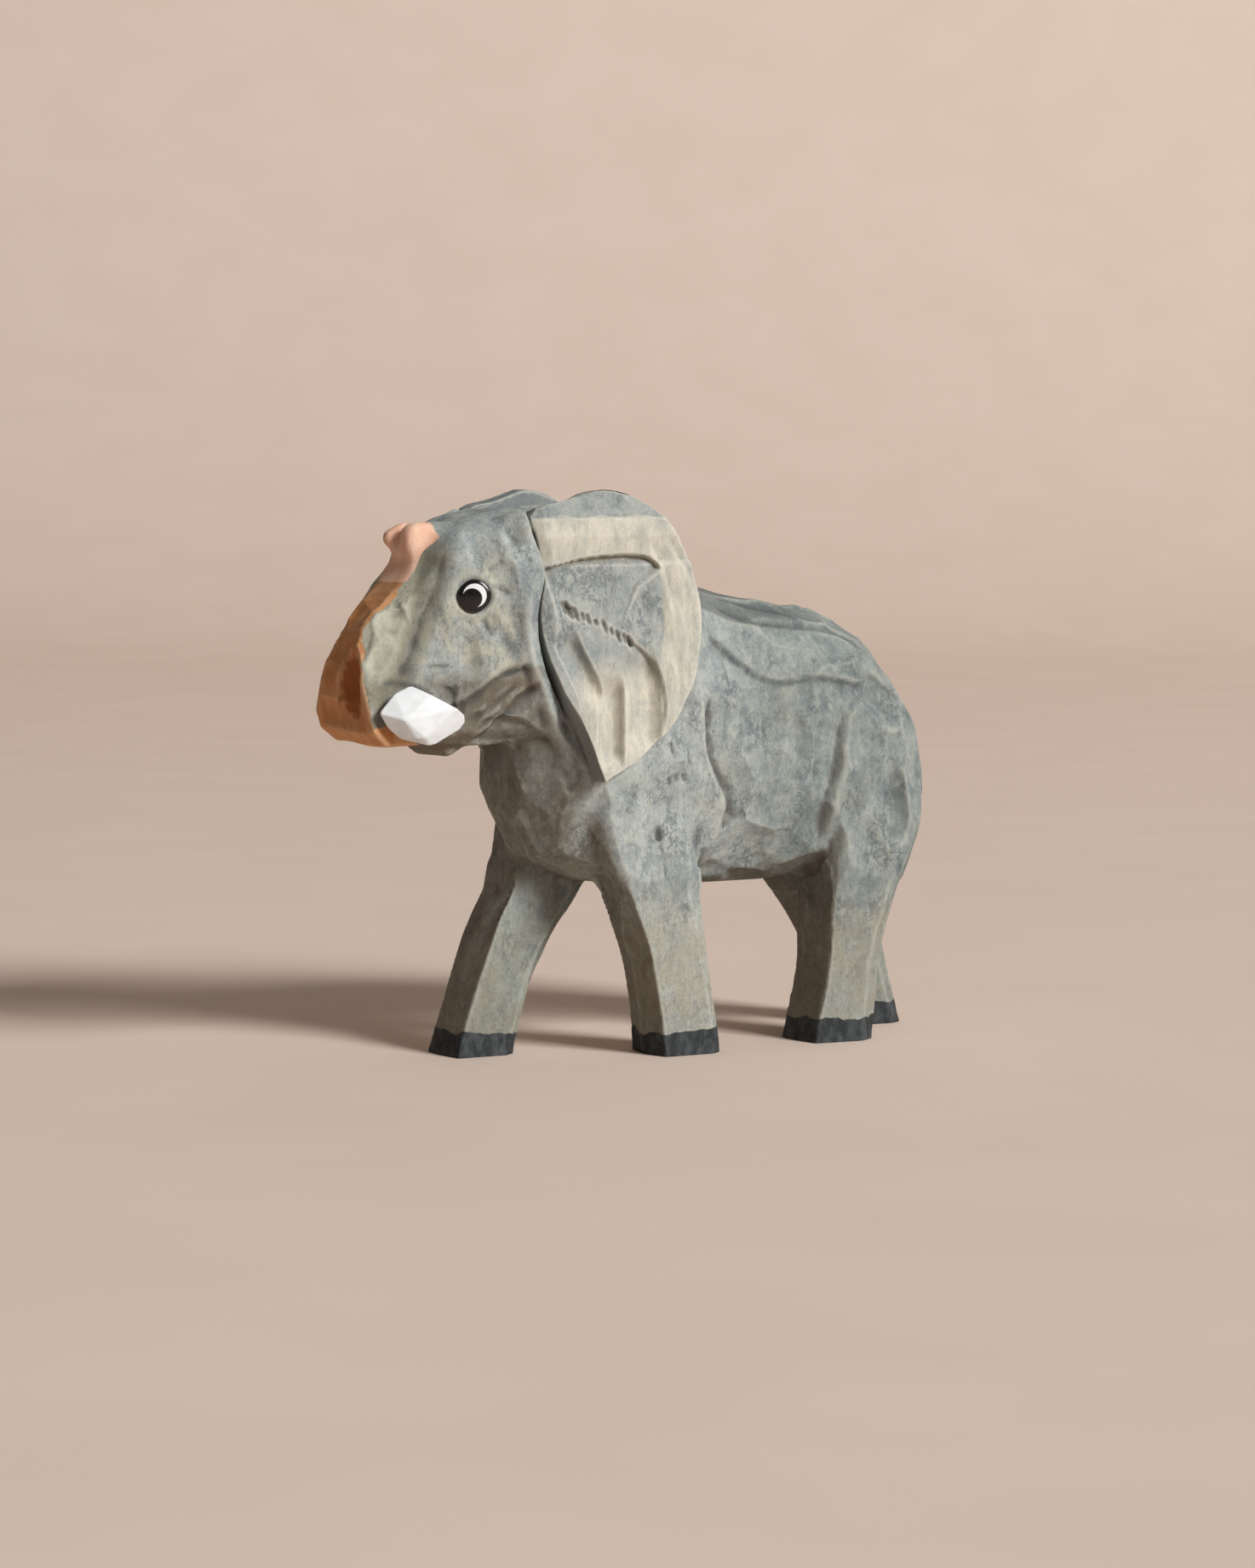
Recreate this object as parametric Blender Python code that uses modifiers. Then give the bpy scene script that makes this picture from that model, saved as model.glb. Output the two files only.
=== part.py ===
"""A carved and painted wooden elephant, trunk folded up against its forehead.

Frame: +Z up, the face looks along -Y, the animal's own left is +X, and the origin
lies on the ground under the middle of the bounding box. Lengths are given in
millimetres and turned to metres where the meshes are made.

The body is one carved block. The ears, tusks, eyes and tail are separate pieces,
each let into a pocket, socket, recess or groove of the block.
"""
import math

import bmesh
import bpy
from mathutils import Matrix, Vector

MM = 0.001
GAP = 0.3                   # clearance left round every fitted piece
MERGE = 0.0001              # merge distance of modifiers, in metres

# Where the carving's own datum, between the shoulders, lies in front of the box middle
DATUM_Y = -2.9

# Torso
BELLY_Z = 27.7
FLANK_HALF_WIDTH = 17.0
TORSO_SIDES = 24
TORSO_SQUARENESS = 2.5      # exponent of the section's superellipse

# Legs
FOOT_HALF = 6.2             # half the foot's size, both ways
LEG_CHAMFER = 0.3           # part of the half size that each leg corner loses
SOLE_OVERCUT = 3.0          # leg length that the flat sole cut takes away

# Ears
EAR_THICKNESS = 5.0
EAR_YAW = math.radians(8.0)         # the rear edge stands further out
EAR_LEAN = math.radians(4.5)        # the top leans in towards the head
EAR_FACE_AT = (17.6, 13.0, 71.2)    # outward, forward, up: the middle of the outer face
EAR_EDGE_ROUNDING = 1.0
EAR_DOWEL_RADIUS = 1.5
EAR_DOWEL_IN_EAR = 2.5
EAR_DOWEL_IN_HEAD = 6.0
EAR_DOWEL_AT = (1.0, 3.0)           # forward and up from the middle of the ear

# Tusks
TUSK_INNER_X = 9.6
TUSK_TENON_RADIUS = 1.9
TUSK_TENON_LENGTH = 5.0
TUSK_TENON_AT = (44.5, 57.2)        # forward and up

# Eyes
EYE_RADIUS = 2.6
EYE_DEPTH = 0.9                     # part of the disc that sits in its recess
EYE_CROWN = 0.55                    # part of the disc that stands proud
EYE_SIDES = 28
EYE_DOME_STEPS = 5
EYE_AT = (12.0, 36.4, 76.9)         # outward, forward, up: on the cheek
CHEEK_TURN = math.radians(24.4)     # how far the cheek plane turns towards the front

# Fused surface of the carved block
VOXEL = 0.8
SMOOTH_PASSES = 4
KEPT_SHARE = 0.08           # part of the fused triangles that is kept

NAME = "carved_wooden_elephant"


def spot(outward, forward, up):
    """A point of the carving in metres; outward is towards the animal's left."""
    return Vector((outward, DATUM_Y - forward, up)) * MM


def clear_scene():
    for leftover in list(bpy.data.objects):
        bpy.data.objects.remove(leftover, do_unlink=True)


def make_collection(name):
    collection = bpy.data.collections.new(name)
    bpy.context.scene.collection.children.link(collection)
    return collection


def make_material(name, colour, roughness, metallic=0.0):
    material = bpy.data.materials.new(name)
    material.use_nodes = True
    shader = material.node_tree.nodes["Principled BSDF"]
    shader.inputs["Base Color"].default_value = (*colour, 1.0)
    shader.inputs["Roughness"].default_value = roughness
    shader.inputs["Metallic"].default_value = metallic
    material.diffuse_color = (*colour, 1.0)
    return material


def mesh_object(name, mesh, collection):
    piece = bpy.data.objects.new(name, mesh)
    collection.objects.link(piece)
    return piece


def from_bmesh(name, bm, collection):
    bmesh.ops.recalc_face_normals(bm, faces=bm.faces[:])
    mesh = bpy.data.meshes.new(name)
    bm.to_mesh(mesh)
    bm.free()
    return mesh_object(name, mesh, collection)


def add_loft(bm, rings):
    """Skin closed rings of equal point count and close both ends."""
    loops = [[bm.verts.new(point) for point in ring] for ring in rings]
    count = len(loops[0])
    for lower, upper in zip(loops, loops[1:]):
        for i in range(count):
            j = (i + 1) % count
            bm.faces.new((lower[i], lower[j], upper[j], upper[i]))
    bm.faces.new(loops[0])
    bm.faces.new(loops[-1])


# ---------------------------------------------------------------- carved block

def power_curve(value, exponent):
    return math.copysign(abs(value) ** exponent, value)


def torso_ring(forward, top, bottom, half_width):
    """Upright section: a superellipse whose widest level lies below its middle."""
    widest = bottom + 0.46 * (top - bottom)
    exponent = 2.0 / TORSO_SQUARENESS
    ring = []
    for i in range(TORSO_SIDES):
        turn = 2.0 * math.pi * i / TORSO_SIDES
        across = half_width * power_curve(math.cos(turn), exponent)
        lift = power_curve(math.sin(turn), exponent)
        height = top - widest if lift > 0.0 else widest - bottom
        ring.append(spot(across, forward, widest + lift * height))
    return ring


TORSO = (
    # forward, top, bottom, half width
    (25.6, 58.0, 45.0, 5.5),
    (24.4, 66.0, 40.0, 9.0),
    (20.5, 77.0, 33.5, 12.6),
    (12.0, 87.0, BELLY_Z + 1.3, 16.0),
    (4.0, 84.2, BELLY_Z + 0.3, FLANK_HALF_WIDTH - 0.3),
    (-4.0, 80.9, BELLY_Z, FLANK_HALF_WIDTH),
    (-12.0, 78.5, BELLY_Z - 0.5, FLANK_HALF_WIDTH),
    (-24.0, 76.2, BELLY_Z - 0.5, FLANK_HALF_WIDTH),
    (-34.0, 74.0, BELLY_Z + 0.5, FLANK_HALF_WIDTH + 0.2),
    (-41.0, 71.2, BELLY_Z - 0.5, FLANK_HALF_WIDTH - 0.2),
    (-47.0, 66.1, BELLY_Z, 15.4),
    (-51.0, 59.8, BELLY_Z + 1.0, 13.0),
    (-54.0, 53.0, BELLY_Z + 4.0, 9.8),
    (-56.0, 46.0, BELLY_Z + 9.0, 5.5),
)


def plan_ring(up, outline):
    """Level section, mirrored: outline runs from rear to front as (forward, outward)."""
    left = [spot(outward, forward, up) for forward, outward in outline]
    right = [spot(-outward, forward, up) for forward, outward in reversed(outline)]
    return left + right


# Head: each level gives the nape, the ear root, the cheek's front edge and the trunk's
# front edge, as (forward, outward).
HEAD = (
    (52.5, ((14.0, 8.0), (27.0, 7.6), (38.0, 7.4), (47.4, 7.2))),
    (54.7, ((10.0, 12.0), (26.0, 12.0), (40.0, 9.6), (51.4, 8.8))),
    (58.0, ((8.0, 14.5), (26.3, 14.6), (42.0, 9.8), (54.2, 9.0))),
    (63.2, ((6.0, 16.0), (26.3, 16.2), (44.5, 8.9), (54.2, 7.3))),
    (68.2, ((6.0, 16.5), (26.3, 16.6), (45.0, 8.4), (53.9, 4.9))),
    (74.2, ((6.0, 16.5), (26.3, 16.6), (43.9, 8.7), (51.4, 4.1))),
    (79.2, ((6.0, 16.0), (26.3, 16.2), (42.3, 9.0), (46.0, 3.9))),
    (83.2, ((7.0, 15.0), (26.0, 15.2), (40.5, 9.0), (43.0, 3.8))),
    (86.7, ((9.0, 13.0), (25.5, 13.4), (37.5, 8.6), (39.6, 4.0))),
    (89.4, ((11.0, 10.0), (24.5, 10.6), (33.0, 7.2), (35.0, 4.0))),
    (91.0, ((13.0, 6.0), (22.0, 6.5), (27.0, 5.0), (28.5, 3.0))),
)

TRUNK_TIP = (
    (78.2, ((36.5, 3.4), (38.0, 3.8), (43.3, 3.8), (45.6, 3.0))),
    (82.2, ((36.5, 3.2), (38.0, 3.4), (42.4, 3.4), (43.6, 2.8))),
    (85.8, ((36.0, 3.4), (38.0, 3.8), (43.0, 3.9), (44.2, 3.2))),
    (88.6, ((36.8, 2.8), (38.0, 3.4), (42.4, 3.6), (43.2, 2.8))),
)


def leg_ring(up, forward, outward, half_long, half_wide):
    """Level section of a leg: a rectangle with its corners cut off."""
    cut = LEG_CHAMFER
    corners = (
        (1.0, 1.0 - cut), (1.0 - cut, 1.0), (cut - 1.0, 1.0), (-1.0, 1.0 - cut),
        (-1.0, cut - 1.0), (cut - 1.0, -1.0), (1.0 - cut, -1.0), (1.0, cut - 1.0),
    )
    return [spot(outward + half_wide * w, forward + half_long * f, up) for f, w in corners]


# Legs, from below the sole upwards: up, forward, outward, half length, half width
FRONT_LEFT = (
    (-SOLE_OVERCUT, -4.9, 8.2, FOOT_HALF + 0.2, FOOT_HALF),
    (7.0, -4.0, 8.2, FOOT_HALF, 6.0),
    (13.0, -2.9, 8.2, FOOT_HALF, 5.9),
    (19.0, -1.4, 8.5, 6.5, 6.0),
    (25.0, 0.4, 8.8, 7.5, 6.2),
    (31.0, 2.7, 9.1, 9.0, 6.5),
    (40.0, 4.6, 9.2, 10.0, 6.6),
    (50.0, 5.6, 8.4, 9.2, 6.2),
)
FRONT_RIGHT = (
    (-SOLE_OVERCUT, 26.8, 8.2, FOOT_HALF, FOOT_HALF),
    (8.5, 23.1, 8.2, FOOT_HALF, 6.0),
    (17.0, 19.8, 8.2, 6.3, 5.9),
    (25.0, 14.8, 8.5, 7.6, 6.2),
    (33.0, 11.2, 8.9, 8.2, 6.4),
    (42.0, 8.8, 9.0, 9.0, 6.5),
    (50.0, 7.5, 8.4, 8.6, 6.2),
)
REAR_LEFT = (
    (-SOLE_OVERCUT, -35.1, 8.2, FOOT_HALF + 1.0, FOOT_HALF),
    (5.0, -36.1, 8.2, FOOT_HALF + 0.3, 6.0),
    (11.0, -37.2, 8.4, 5.8, 5.9),
    (18.0, -37.7, 8.8, 6.2, 6.2),
    (23.5, -38.4, 9.2, 7.2, 6.5),
    (29.5, -39.8, 9.5, 8.5, 6.9),
    (38.0, -41.4, 9.6, 9.4, 7.2),
    (48.0, -41.6, 8.8, 8.4, 7.0),
)
REAR_RIGHT = (
    (-SOLE_OVERCUT, -54.3, 8.2, FOOT_HALF, FOOT_HALF),
    (4.0, -52.8, 8.2, 6.1, 6.0),
    (11.0, -50.9, 8.4, 5.9, 5.9),
    (18.0, -48.7, 8.8, 6.6, 6.2),
    (28.0, -44.6, 9.3, 10.4, 6.8),
    (38.0, -43.0, 9.6, 10.2, 7.2),
    (48.0, -41.8, 8.8, 8.6, 7.0),
)
LEGS = ((1, FRONT_LEFT), (-1, FRONT_RIGHT), (1, REAR_LEFT), (-1, REAR_RIGHT))


def leg_rings(side, stations):
    rings = []
    for up, forward, outward, half_long, half_wide in stations:
        rings.append(leg_ring(up, forward, side * outward, half_long, half_wide))
    return rings


def make_body(collection):
    bm = bmesh.new()
    add_loft(bm, [torso_ring(*station) for station in TORSO])
    add_loft(bm, [plan_ring(up, outline) for up, outline in HEAD])
    add_loft(bm, [plan_ring(up, outline) for up, outline in TRUNK_TIP])
    for side, stations in LEGS:
        add_loft(bm, leg_rings(side, stations))
    body = from_bmesh("carved_body", bm, collection)

    fuse = body.modifiers.new("fuse", "REMESH")
    fuse.mode = "VOXEL"
    fuse.voxel_size = VOXEL * MM
    soften = body.modifiers.new("soften", "SMOOTH")
    soften.factor = 0.5
    soften.iterations = SMOOTH_PASSES
    thin = body.modifiers.new("thin", "DECIMATE")
    thin.ratio = KEPT_SHARE
    return body


# ---------------------------------------------------------------- fitted pieces

def cut(body, cutter):
    """Take the cutter's space out of a piece, and show the cutter as a guide only."""
    cutter.hide_render = True
    cutter.display_type = "WIRE"
    boolean = body.modifiers.new(cutter.name, "BOOLEAN")
    boolean.operation = "DIFFERENCE"
    boolean.solver = "EXACT"
    boolean.object = cutter


def cylinder(name, radius, start, end, collection, sides=24):
    """A round bar between two points given in metres."""
    axis = end - start
    bm = bmesh.new()
    bmesh.ops.create_cone(bm, cap_ends=True, segments=sides, radius1=radius * MM,
                          radius2=radius * MM, depth=axis.length)
    turn = axis.to_track_quat("Z", "Y").to_matrix().to_4x4()
    bmesh.ops.transform(bm, matrix=Matrix.Translation((start + end) / 2.0) @ turn,
                        verts=bm.verts[:])
    return from_bmesh(name, bm, collection)


# Ear outline, forward and up from the middle of its outer face; the last point is the
# tip that hangs on the shoulder.
EAR_OUTLINE = (
    (13.8, 18.8), (7.6, 21.2), (0.4, 22.9), (-7.1, 20.4), (-12.1, 14.7), (-15.0, 6.5),
    (-15.0, -3.0), (-11.8, -12.5), (-4.4, -20.2), (3.2, -24.8), (6.0, -16.4),
    (10.8, -7.3), (12.8, 2.0), (11.9, 9.5), (13.0, 14.6),
)
EAR_TIP = 9                 # index of the one sharp corner
EAR_CURVE_STEPS = 4


def ear_frame(side):
    """Local x runs forward along the ear, y up and z outward through its face."""
    outward, forward, up = EAR_FACE_AT
    face = Vector((math.cos(EAR_YAW) * side, -math.sin(EAR_YAW), math.tan(EAR_LEAN)))
    face.normalize()
    along = Vector((0.0, -1.0, 0.0))
    along = (along - face * along.dot(face)).normalized()
    rise = along.cross(face) * side
    frame = Matrix.Identity(4)
    for row in range(3):
        frame[row][0] = along[row]
        frame[row][1] = rise[row]
        frame[row][2] = face[row]
    frame.translation = spot(outward * side, forward, up)
    return frame


def ear_plate(name, side, grow, inner, outer, collection):
    """A flat plate with the ear's outline, between two depths below its face."""
    curve = bpy.data.curves.new(name, "CURVE")
    curve.dimensions = "2D"
    curve.fill_mode = "BOTH"
    curve.resolution_u = EAR_CURVE_STEPS
    curve.extrude = (inner - outer) / 2.0 * MM
    spline = curve.splines.new("BEZIER")
    spline.bezier_points.add(len(EAR_OUTLINE) - 1)
    spline.use_cyclic_u = True
    for index, (along, rise) in enumerate(EAR_OUTLINE):
        reach = math.hypot(along, rise)
        stretch = (reach + grow) / reach
        knot = spline.bezier_points[index]
        knot.co = (along * stretch * MM, rise * stretch * MM, 0.0)
        kind = "VECTOR" if index == EAR_TIP else "AUTO"
        knot.handle_left_type = kind
        knot.handle_right_type = kind
    middle = Matrix.Translation((0.0, 0.0, -(inner + outer) / 2.0 * MM))
    flat = bpy.data.objects.new(name + "_outline", curve)
    collection.objects.link(flat)
    bpy.context.view_layer.update()
    shown = flat.evaluated_get(bpy.context.evaluated_depsgraph_get())
    mesh = bpy.data.meshes.new_from_object(shown)
    bpy.data.objects.remove(flat, do_unlink=True)
    bm = bmesh.new()
    bm.from_mesh(mesh)
    bmesh.ops.remove_doubles(bm, verts=bm.verts[:], dist=0.00001)
    bmesh.ops.transform(bm, matrix=ear_frame(side) @ middle, verts=bm.verts[:])
    bmesh.ops.recalc_face_normals(bm, faces=bm.faces[:])
    bm.to_mesh(mesh)
    bm.free()
    return mesh_object(name, mesh, collection)


def make_ear(side, body, collection, cutters):
    word = "left" if side > 0 else "right"
    ear = ear_plate(word + "_ear", side, 0.0, EAR_THICKNESS, 0.0, collection)
    rounding = ear.modifiers.new("rounding", "BEVEL")
    rounding.width = EAR_EDGE_ROUNDING * MM
    rounding.segments = 2
    rounding.limit_method = "ANGLE"
    rounding.angle_limit = math.radians(60.0)
    pocket_floor = EAR_THICKNESS + GAP
    pocket = ear_plate(word + "_ear_pocket", side, GAP + 0.15, pocket_floor, -8.0, cutters)
    cut(body, pocket)

    frame = ear_frame(side)
    along, rise = EAR_DOWEL_AT
    shaft = [frame @ (Vector((along, rise, -depth)) * MM) for depth in
             (EAR_THICKNESS - EAR_DOWEL_IN_EAR, EAR_THICKNESS + EAR_DOWEL_IN_HEAD)]
    way = (shaft[1] - shaft[0]).normalized() * GAP * MM
    dowel = cylinder(word + "_ear_dowel", EAR_DOWEL_RADIUS, *shaft, collection)
    bore = cylinder(word + "_ear_bore", EAR_DOWEL_RADIUS + GAP, shaft[0] - way,
                    shaft[1] + way, cutters)
    cut(ear, bore)
    cut(body, bore)
    return ear, dowel


# Tusk: five-sided sections from root to tip, as forward position and then the
# (outward of the inner face, up) of each corner.
TUSK = (
    (38.8, ((0.9, 56.0), (0.9, 59.8), (3.4, 60.6), (4.7, 58.6), (3.6, 55.8))),
    (42.0, ((0.3, 54.2), (0.3, 61.4), (2.6, 62.1), (5.2, 59.4), (3.8, 54.2))),
    (48.6, ((0.3, 53.8), (0.3, 61.8), (2.8, 62.4), (5.0, 58.2), (3.4, 53.6))),
    (52.2, ((0.4, 55.4), (0.4, 59.8), (1.8, 60.2), (3.0, 58.0), (2.0, 55.4))),
)


def make_tusk(side, body, collection, cutters):
    word = "left" if side > 0 else "right"
    bm = bmesh.new()
    rings = []
    for forward, corners in TUSK:
        rings.append([spot(side * (TUSK_INNER_X + out), forward, up) for out, up in corners])
    add_loft(bm, rings)
    tusk = from_bmesh(word + "_tusk", bm, collection)
    forward, up = TUSK_TENON_AT
    root = spot(side * (TUSK_INNER_X + 1.5), forward, up)
    end = spot(side * (TUSK_INNER_X - TUSK_TENON_LENGTH), forward, up)
    tenon = cylinder(word + "_tusk_tenon", TUSK_TENON_RADIUS, root, end, cutters)
    tenon.hide_render = True
    tenon.display_type = "WIRE"
    join = tusk.modifiers.new("tenon", "BOOLEAN")
    join.operation = "UNION"
    join.solver = "EXACT"
    join.object = tenon
    deep = spot(side * (TUSK_INNER_X - TUSK_TENON_LENGTH - GAP), forward, up)
    open_end = spot(side * (TUSK_INNER_X + 4.0), forward, up)
    cut(body, cylinder(word + "_tusk_socket", TUSK_TENON_RADIUS + GAP, open_end, deep, cutters))
    return tusk


def tusk_seat(side, cutters):
    """Clears the flat side of the muzzle that the tusk lies against."""
    bm = bmesh.new()
    low = spot(side * TUSK_INNER_X, 38.4, 52.0)
    high = spot(side * (TUSK_INNER_X + 9.0), 58.0, 62.8)
    bmesh.ops.create_cube(bm, size=1.0)
    scale = Matrix.Diagonal((*(abs(a - b) for a, b in zip(low, high)), 1.0))
    bmesh.ops.transform(bm, matrix=Matrix.Translation((low + high) / 2.0) @ scale,
                        verts=bm.verts[:])
    word = "left" if side > 0 else "right"
    return from_bmesh(word + "_tusk_seat", bm, cutters)


def make_eye(side, body, collection, cutters):
    """A shallow domed disc, turned about its own z and set square to the cheek."""
    word = "left" if side > 0 else "right"
    outward, forward, up = EYE_AT
    facing = Vector((math.cos(CHEEK_TURN) * side, -math.sin(CHEEK_TURN), 0.0))
    turn = facing.to_track_quat("Z", "Y").to_matrix().to_4x4()
    place = Matrix.Translation(spot(outward * side, forward, up)) @ turn

    bm = bmesh.new()
    outline = []
    for i in range(EYE_DOME_STEPS + 1):
        fall = math.pi / 2.0 * i / EYE_DOME_STEPS
        outline.append((EYE_RADIUS * math.sin(fall), EYE_CROWN * math.cos(fall)))
    outline += [(EYE_RADIUS, -EYE_DEPTH), (0.0, -EYE_DEPTH)]
    points = [bm.verts.new(Vector((radius, 0.0, height)) * MM) for radius, height in outline]
    for start, end in zip(points, points[1:]):
        bm.edges.new((start, end))
    mesh = bpy.data.meshes.new(word + "_eye")
    bm.to_mesh(mesh)
    bm.free()
    eye = mesh_object(word + "_eye", mesh, collection)
    eye.matrix_world = place
    screw = eye.modifiers.new("turn", "SCREW")
    screw.steps = EYE_SIDES
    screw.render_steps = EYE_SIDES
    screw.use_merge_vertices = True
    screw.merge_threshold = MERGE / 10.0

    base = place @ (Vector((0.0, 0.0, -EYE_DEPTH - GAP)) * MM)
    top = place @ (Vector((0.0, 0.0, EYE_RADIUS)) * MM)
    cut(body, cylinder(word + "_eye_recess", EYE_RADIUS + GAP, base, top, cutters, EYE_SIDES))
    return eye


# Tail: a whittled strip down the rump, leaning to the animal's right, as
# (outward, forward, up) and radius.
TAIL = (
    ((-0.5, -50.6, 62.0), 1.7),
    ((-1.2, -54.0, 56.0), 1.6),
    ((-2.4, -56.2, 49.5), 1.4),
    ((-3.8, -56.8, 42.5), 1.3),
    ((-5.2, -56.0, 36.0), 1.8),
    ((-6.2, -54.4, 30.5), 1.0),
)


def tail_tube(name, grow, collection):
    curve = bpy.data.curves.new(name, "CURVE")
    curve.dimensions = "3D"
    curve.bevel_depth = MM
    curve.bevel_resolution = 2
    curve.use_fill_caps = True
    curve.resolution_u = 3
    spline = curve.splines.new("NURBS")
    spline.points.add(len(TAIL) - 1)
    spline.order_u = 4
    spline.use_endpoint_u = True
    for knot, (place, radius) in zip(spline.points, TAIL):
        knot.co = (*spot(*place), 1.0)
        knot.radius = radius + grow
    strip = bpy.data.objects.new(name + "_path", curve)
    collection.objects.link(strip)
    bpy.context.view_layer.update()
    shown = strip.evaluated_get(bpy.context.evaluated_depsgraph_get())
    mesh = bpy.data.meshes.new_from_object(shown)
    bpy.data.objects.remove(strip, do_unlink=True)
    bm = bmesh.new()
    bm.from_mesh(mesh)
    bmesh.ops.remove_doubles(bm, verts=bm.verts[:], dist=0.00001)
    bmesh.ops.recalc_face_normals(bm, faces=bm.faces[:])
    bm.to_mesh(mesh)
    bm.free()
    return mesh_object(name, mesh, collection)


def sole_cut(cutters):
    """A block whose top face is the ground, so that all four soles end flat on it."""
    bm = bmesh.new()
    bmesh.ops.create_cube(bm, size=1.0)
    depth = 4.0 * SOLE_OVERCUT * MM
    place = Matrix.Translation((0.0, 0.0, -depth / 2.0))
    scale = Matrix.Diagonal((0.2, 0.3, depth, 1.0))
    bmesh.ops.transform(bm, matrix=place @ scale, verts=bm.verts[:])
    return from_bmesh("ground_block", bm, cutters)


def main():
    clear_scene()
    parts = make_collection(NAME)
    cutters = make_collection("cutters")
    grey_wash = make_material("grey_washed_wood", (0.36, 0.38, 0.37), 0.65)
    cream_wash = make_material("cream_washed_wood", (0.62, 0.58, 0.48), 0.65)
    white_paint = make_material("white_paint", (0.83, 0.85, 0.85), 0.4)
    black_gloss = make_material("black_gloss_paint", (0.008, 0.008, 0.009), 0.12)
    bare_wood = make_material("bare_wood", (0.55, 0.40, 0.25), 0.7)

    body = make_body(parts)
    body.data.materials.append(grey_wash)
    cut(body, sole_cut(cutters))
    for side in (1, -1):
        ear, dowel = make_ear(side, body, parts, cutters)
        ear.data.materials.append(cream_wash)
        dowel.data.materials.append(bare_wood)
        cut(body, tusk_seat(side, cutters))
        make_tusk(side, body, parts, cutters).data.materials.append(white_paint)
        make_eye(side, body, parts, cutters).data.materials.append(black_gloss)
    tail = tail_tube("tail", 0.0, parts)
    tail.data.materials.append(grey_wash)
    cut(body, tail_tube("tail_groove", GAP, cutters))


main()
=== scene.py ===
import math

import bmesh
import bpy
import numpy as np
from mathutils import Matrix, Vector


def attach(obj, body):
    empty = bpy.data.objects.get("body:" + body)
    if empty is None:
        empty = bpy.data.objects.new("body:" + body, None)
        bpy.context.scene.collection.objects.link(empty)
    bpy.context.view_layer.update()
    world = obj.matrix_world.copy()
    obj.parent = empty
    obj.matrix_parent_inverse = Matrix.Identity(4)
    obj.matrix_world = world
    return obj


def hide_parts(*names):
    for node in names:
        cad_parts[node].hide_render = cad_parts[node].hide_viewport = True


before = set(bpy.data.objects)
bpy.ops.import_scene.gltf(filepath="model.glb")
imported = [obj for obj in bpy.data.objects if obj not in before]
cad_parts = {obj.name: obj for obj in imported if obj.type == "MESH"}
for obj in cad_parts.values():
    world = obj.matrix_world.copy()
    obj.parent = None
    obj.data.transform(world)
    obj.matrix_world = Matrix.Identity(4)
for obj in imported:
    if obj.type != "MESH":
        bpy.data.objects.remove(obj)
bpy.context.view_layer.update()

# Lengths are in millimetres until a mesh is written. Forward is measured from the datum towards
# the trunk, up from the soles, outward from the middle plane.
MM = 0.001
DATUM_Y = -2.9
SIDES = {"left": 1.0, "right": -1.0}
EAR_SEEDS = {"left": 21, "right": 22}

BODY_VOXEL = 0.44
EAR_VOXEL = 0.25
TAIL_VOXEL = 0.32
MOST_TRIANGLES = 196000     # in one piece

EAR_YAW = math.radians(8.0)
EAR_LEAN = math.radians(4.5)
EAR_FACE_AT = (17.6, 13.0, 71.2)    # outward, forward, up

EYE_AT = (12.0, 36.4, 76.9)
EYE_TURN = math.radians(24.4)
EYE_RADIUS = 2.6


# ---------------- surfaces as arrays

def rise(value, low=0.0, high=1.0):
    """Smooth 0 to 1 as value goes from low to high."""
    t = np.clip((value - low) / (high - low), 0.0, 1.0)
    return t * t * (3.0 - 2.0 * t)


def unit(rows):
    return rows / np.maximum(np.linalg.norm(rows, axis=-1, keepdims=True), 1e-9)


class Surface:
    """A closed mesh held as arrays, so that it can be carved point by point."""

    def __init__(self, piece):
        self.piece = piece
        self.mesh = piece.data
        self.count = len(self.mesh.vertices)
        flat = np.empty(self.count * 3)
        self.mesh.vertices.foreach_get("co", flat)
        self.co = flat.reshape(-1, 3) / MM
        ends = np.empty(len(self.mesh.edges) * 2, np.int64)
        self.mesh.edges.foreach_get("vertices", ends)
        self.ends = ends.reshape(-1, 2)
        self.valence = np.bincount(ends, minlength=self.count).astype(float)
        self.marks = {}
        self.update()

    def update(self):
        """Write the points back and read the normals again."""
        self.mesh.vertices.foreach_set("co", (self.co * MM).ravel())
        self.mesh.update()
        flat = np.empty(self.count * 3)
        self.mesh.vertex_normals.foreach_get("vector", flat)
        self.normal = flat.reshape(-1, 3)
        self.outward = self.co[:, 0]
        self.forward = DATUM_Y - self.co[:, 1]
        self.up = self.co[:, 2]

    def spread(self, values, passes):
        """Average each point's row with the rows of its neighbours, several times over."""
        a, b = self.ends.T
        for _ in range(passes):
            total = values.copy()
            for k, column in enumerate(values.T):
                total[:, k] += np.bincount(a, column[b], self.count)
                total[:, k] += np.bincount(b, column[a], self.count)
            values = total / (self.valence + 1.0)[:, None]
        return values

    def push(self, height):
        """Move every point along its normal; a negative height cuts in."""
        self.co = self.co + self.normal * height[:, None]
        self.update()

    def soften(self, passes):
        self.co = self.spread(self.co, passes)
        self.update()

    def hollowness(self, passes):
        """How far each point lies below the surface around it; ridges come out negative."""
        return ((self.spread(self.co, passes) - self.co) * self.normal).sum(1)

    def mark(self, name, values):
        """Add to a named paint mask, kept between 0 and 1."""
        old = self.marks.get(name, np.zeros(self.count))
        self.marks[name] = np.clip(np.maximum(old, values), 0.0, 1.0)

    def gap(self, name, values):
        """Store a distance in millimetres from the edge of a painted area, positive inside it."""
        self.marks[name] = np.clip(values, -4.0, 4.0)

    def write_marks(self):
        for name, values in self.marks.items():
            layer = self.mesh.attributes.new(name, "FLOAT", "POINT")
            layer.data.foreach_set("value", values.astype(np.float32))


def spot(outward, forward, up):
    return Vector((outward, DATUM_Y - forward, up)) * MM


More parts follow.
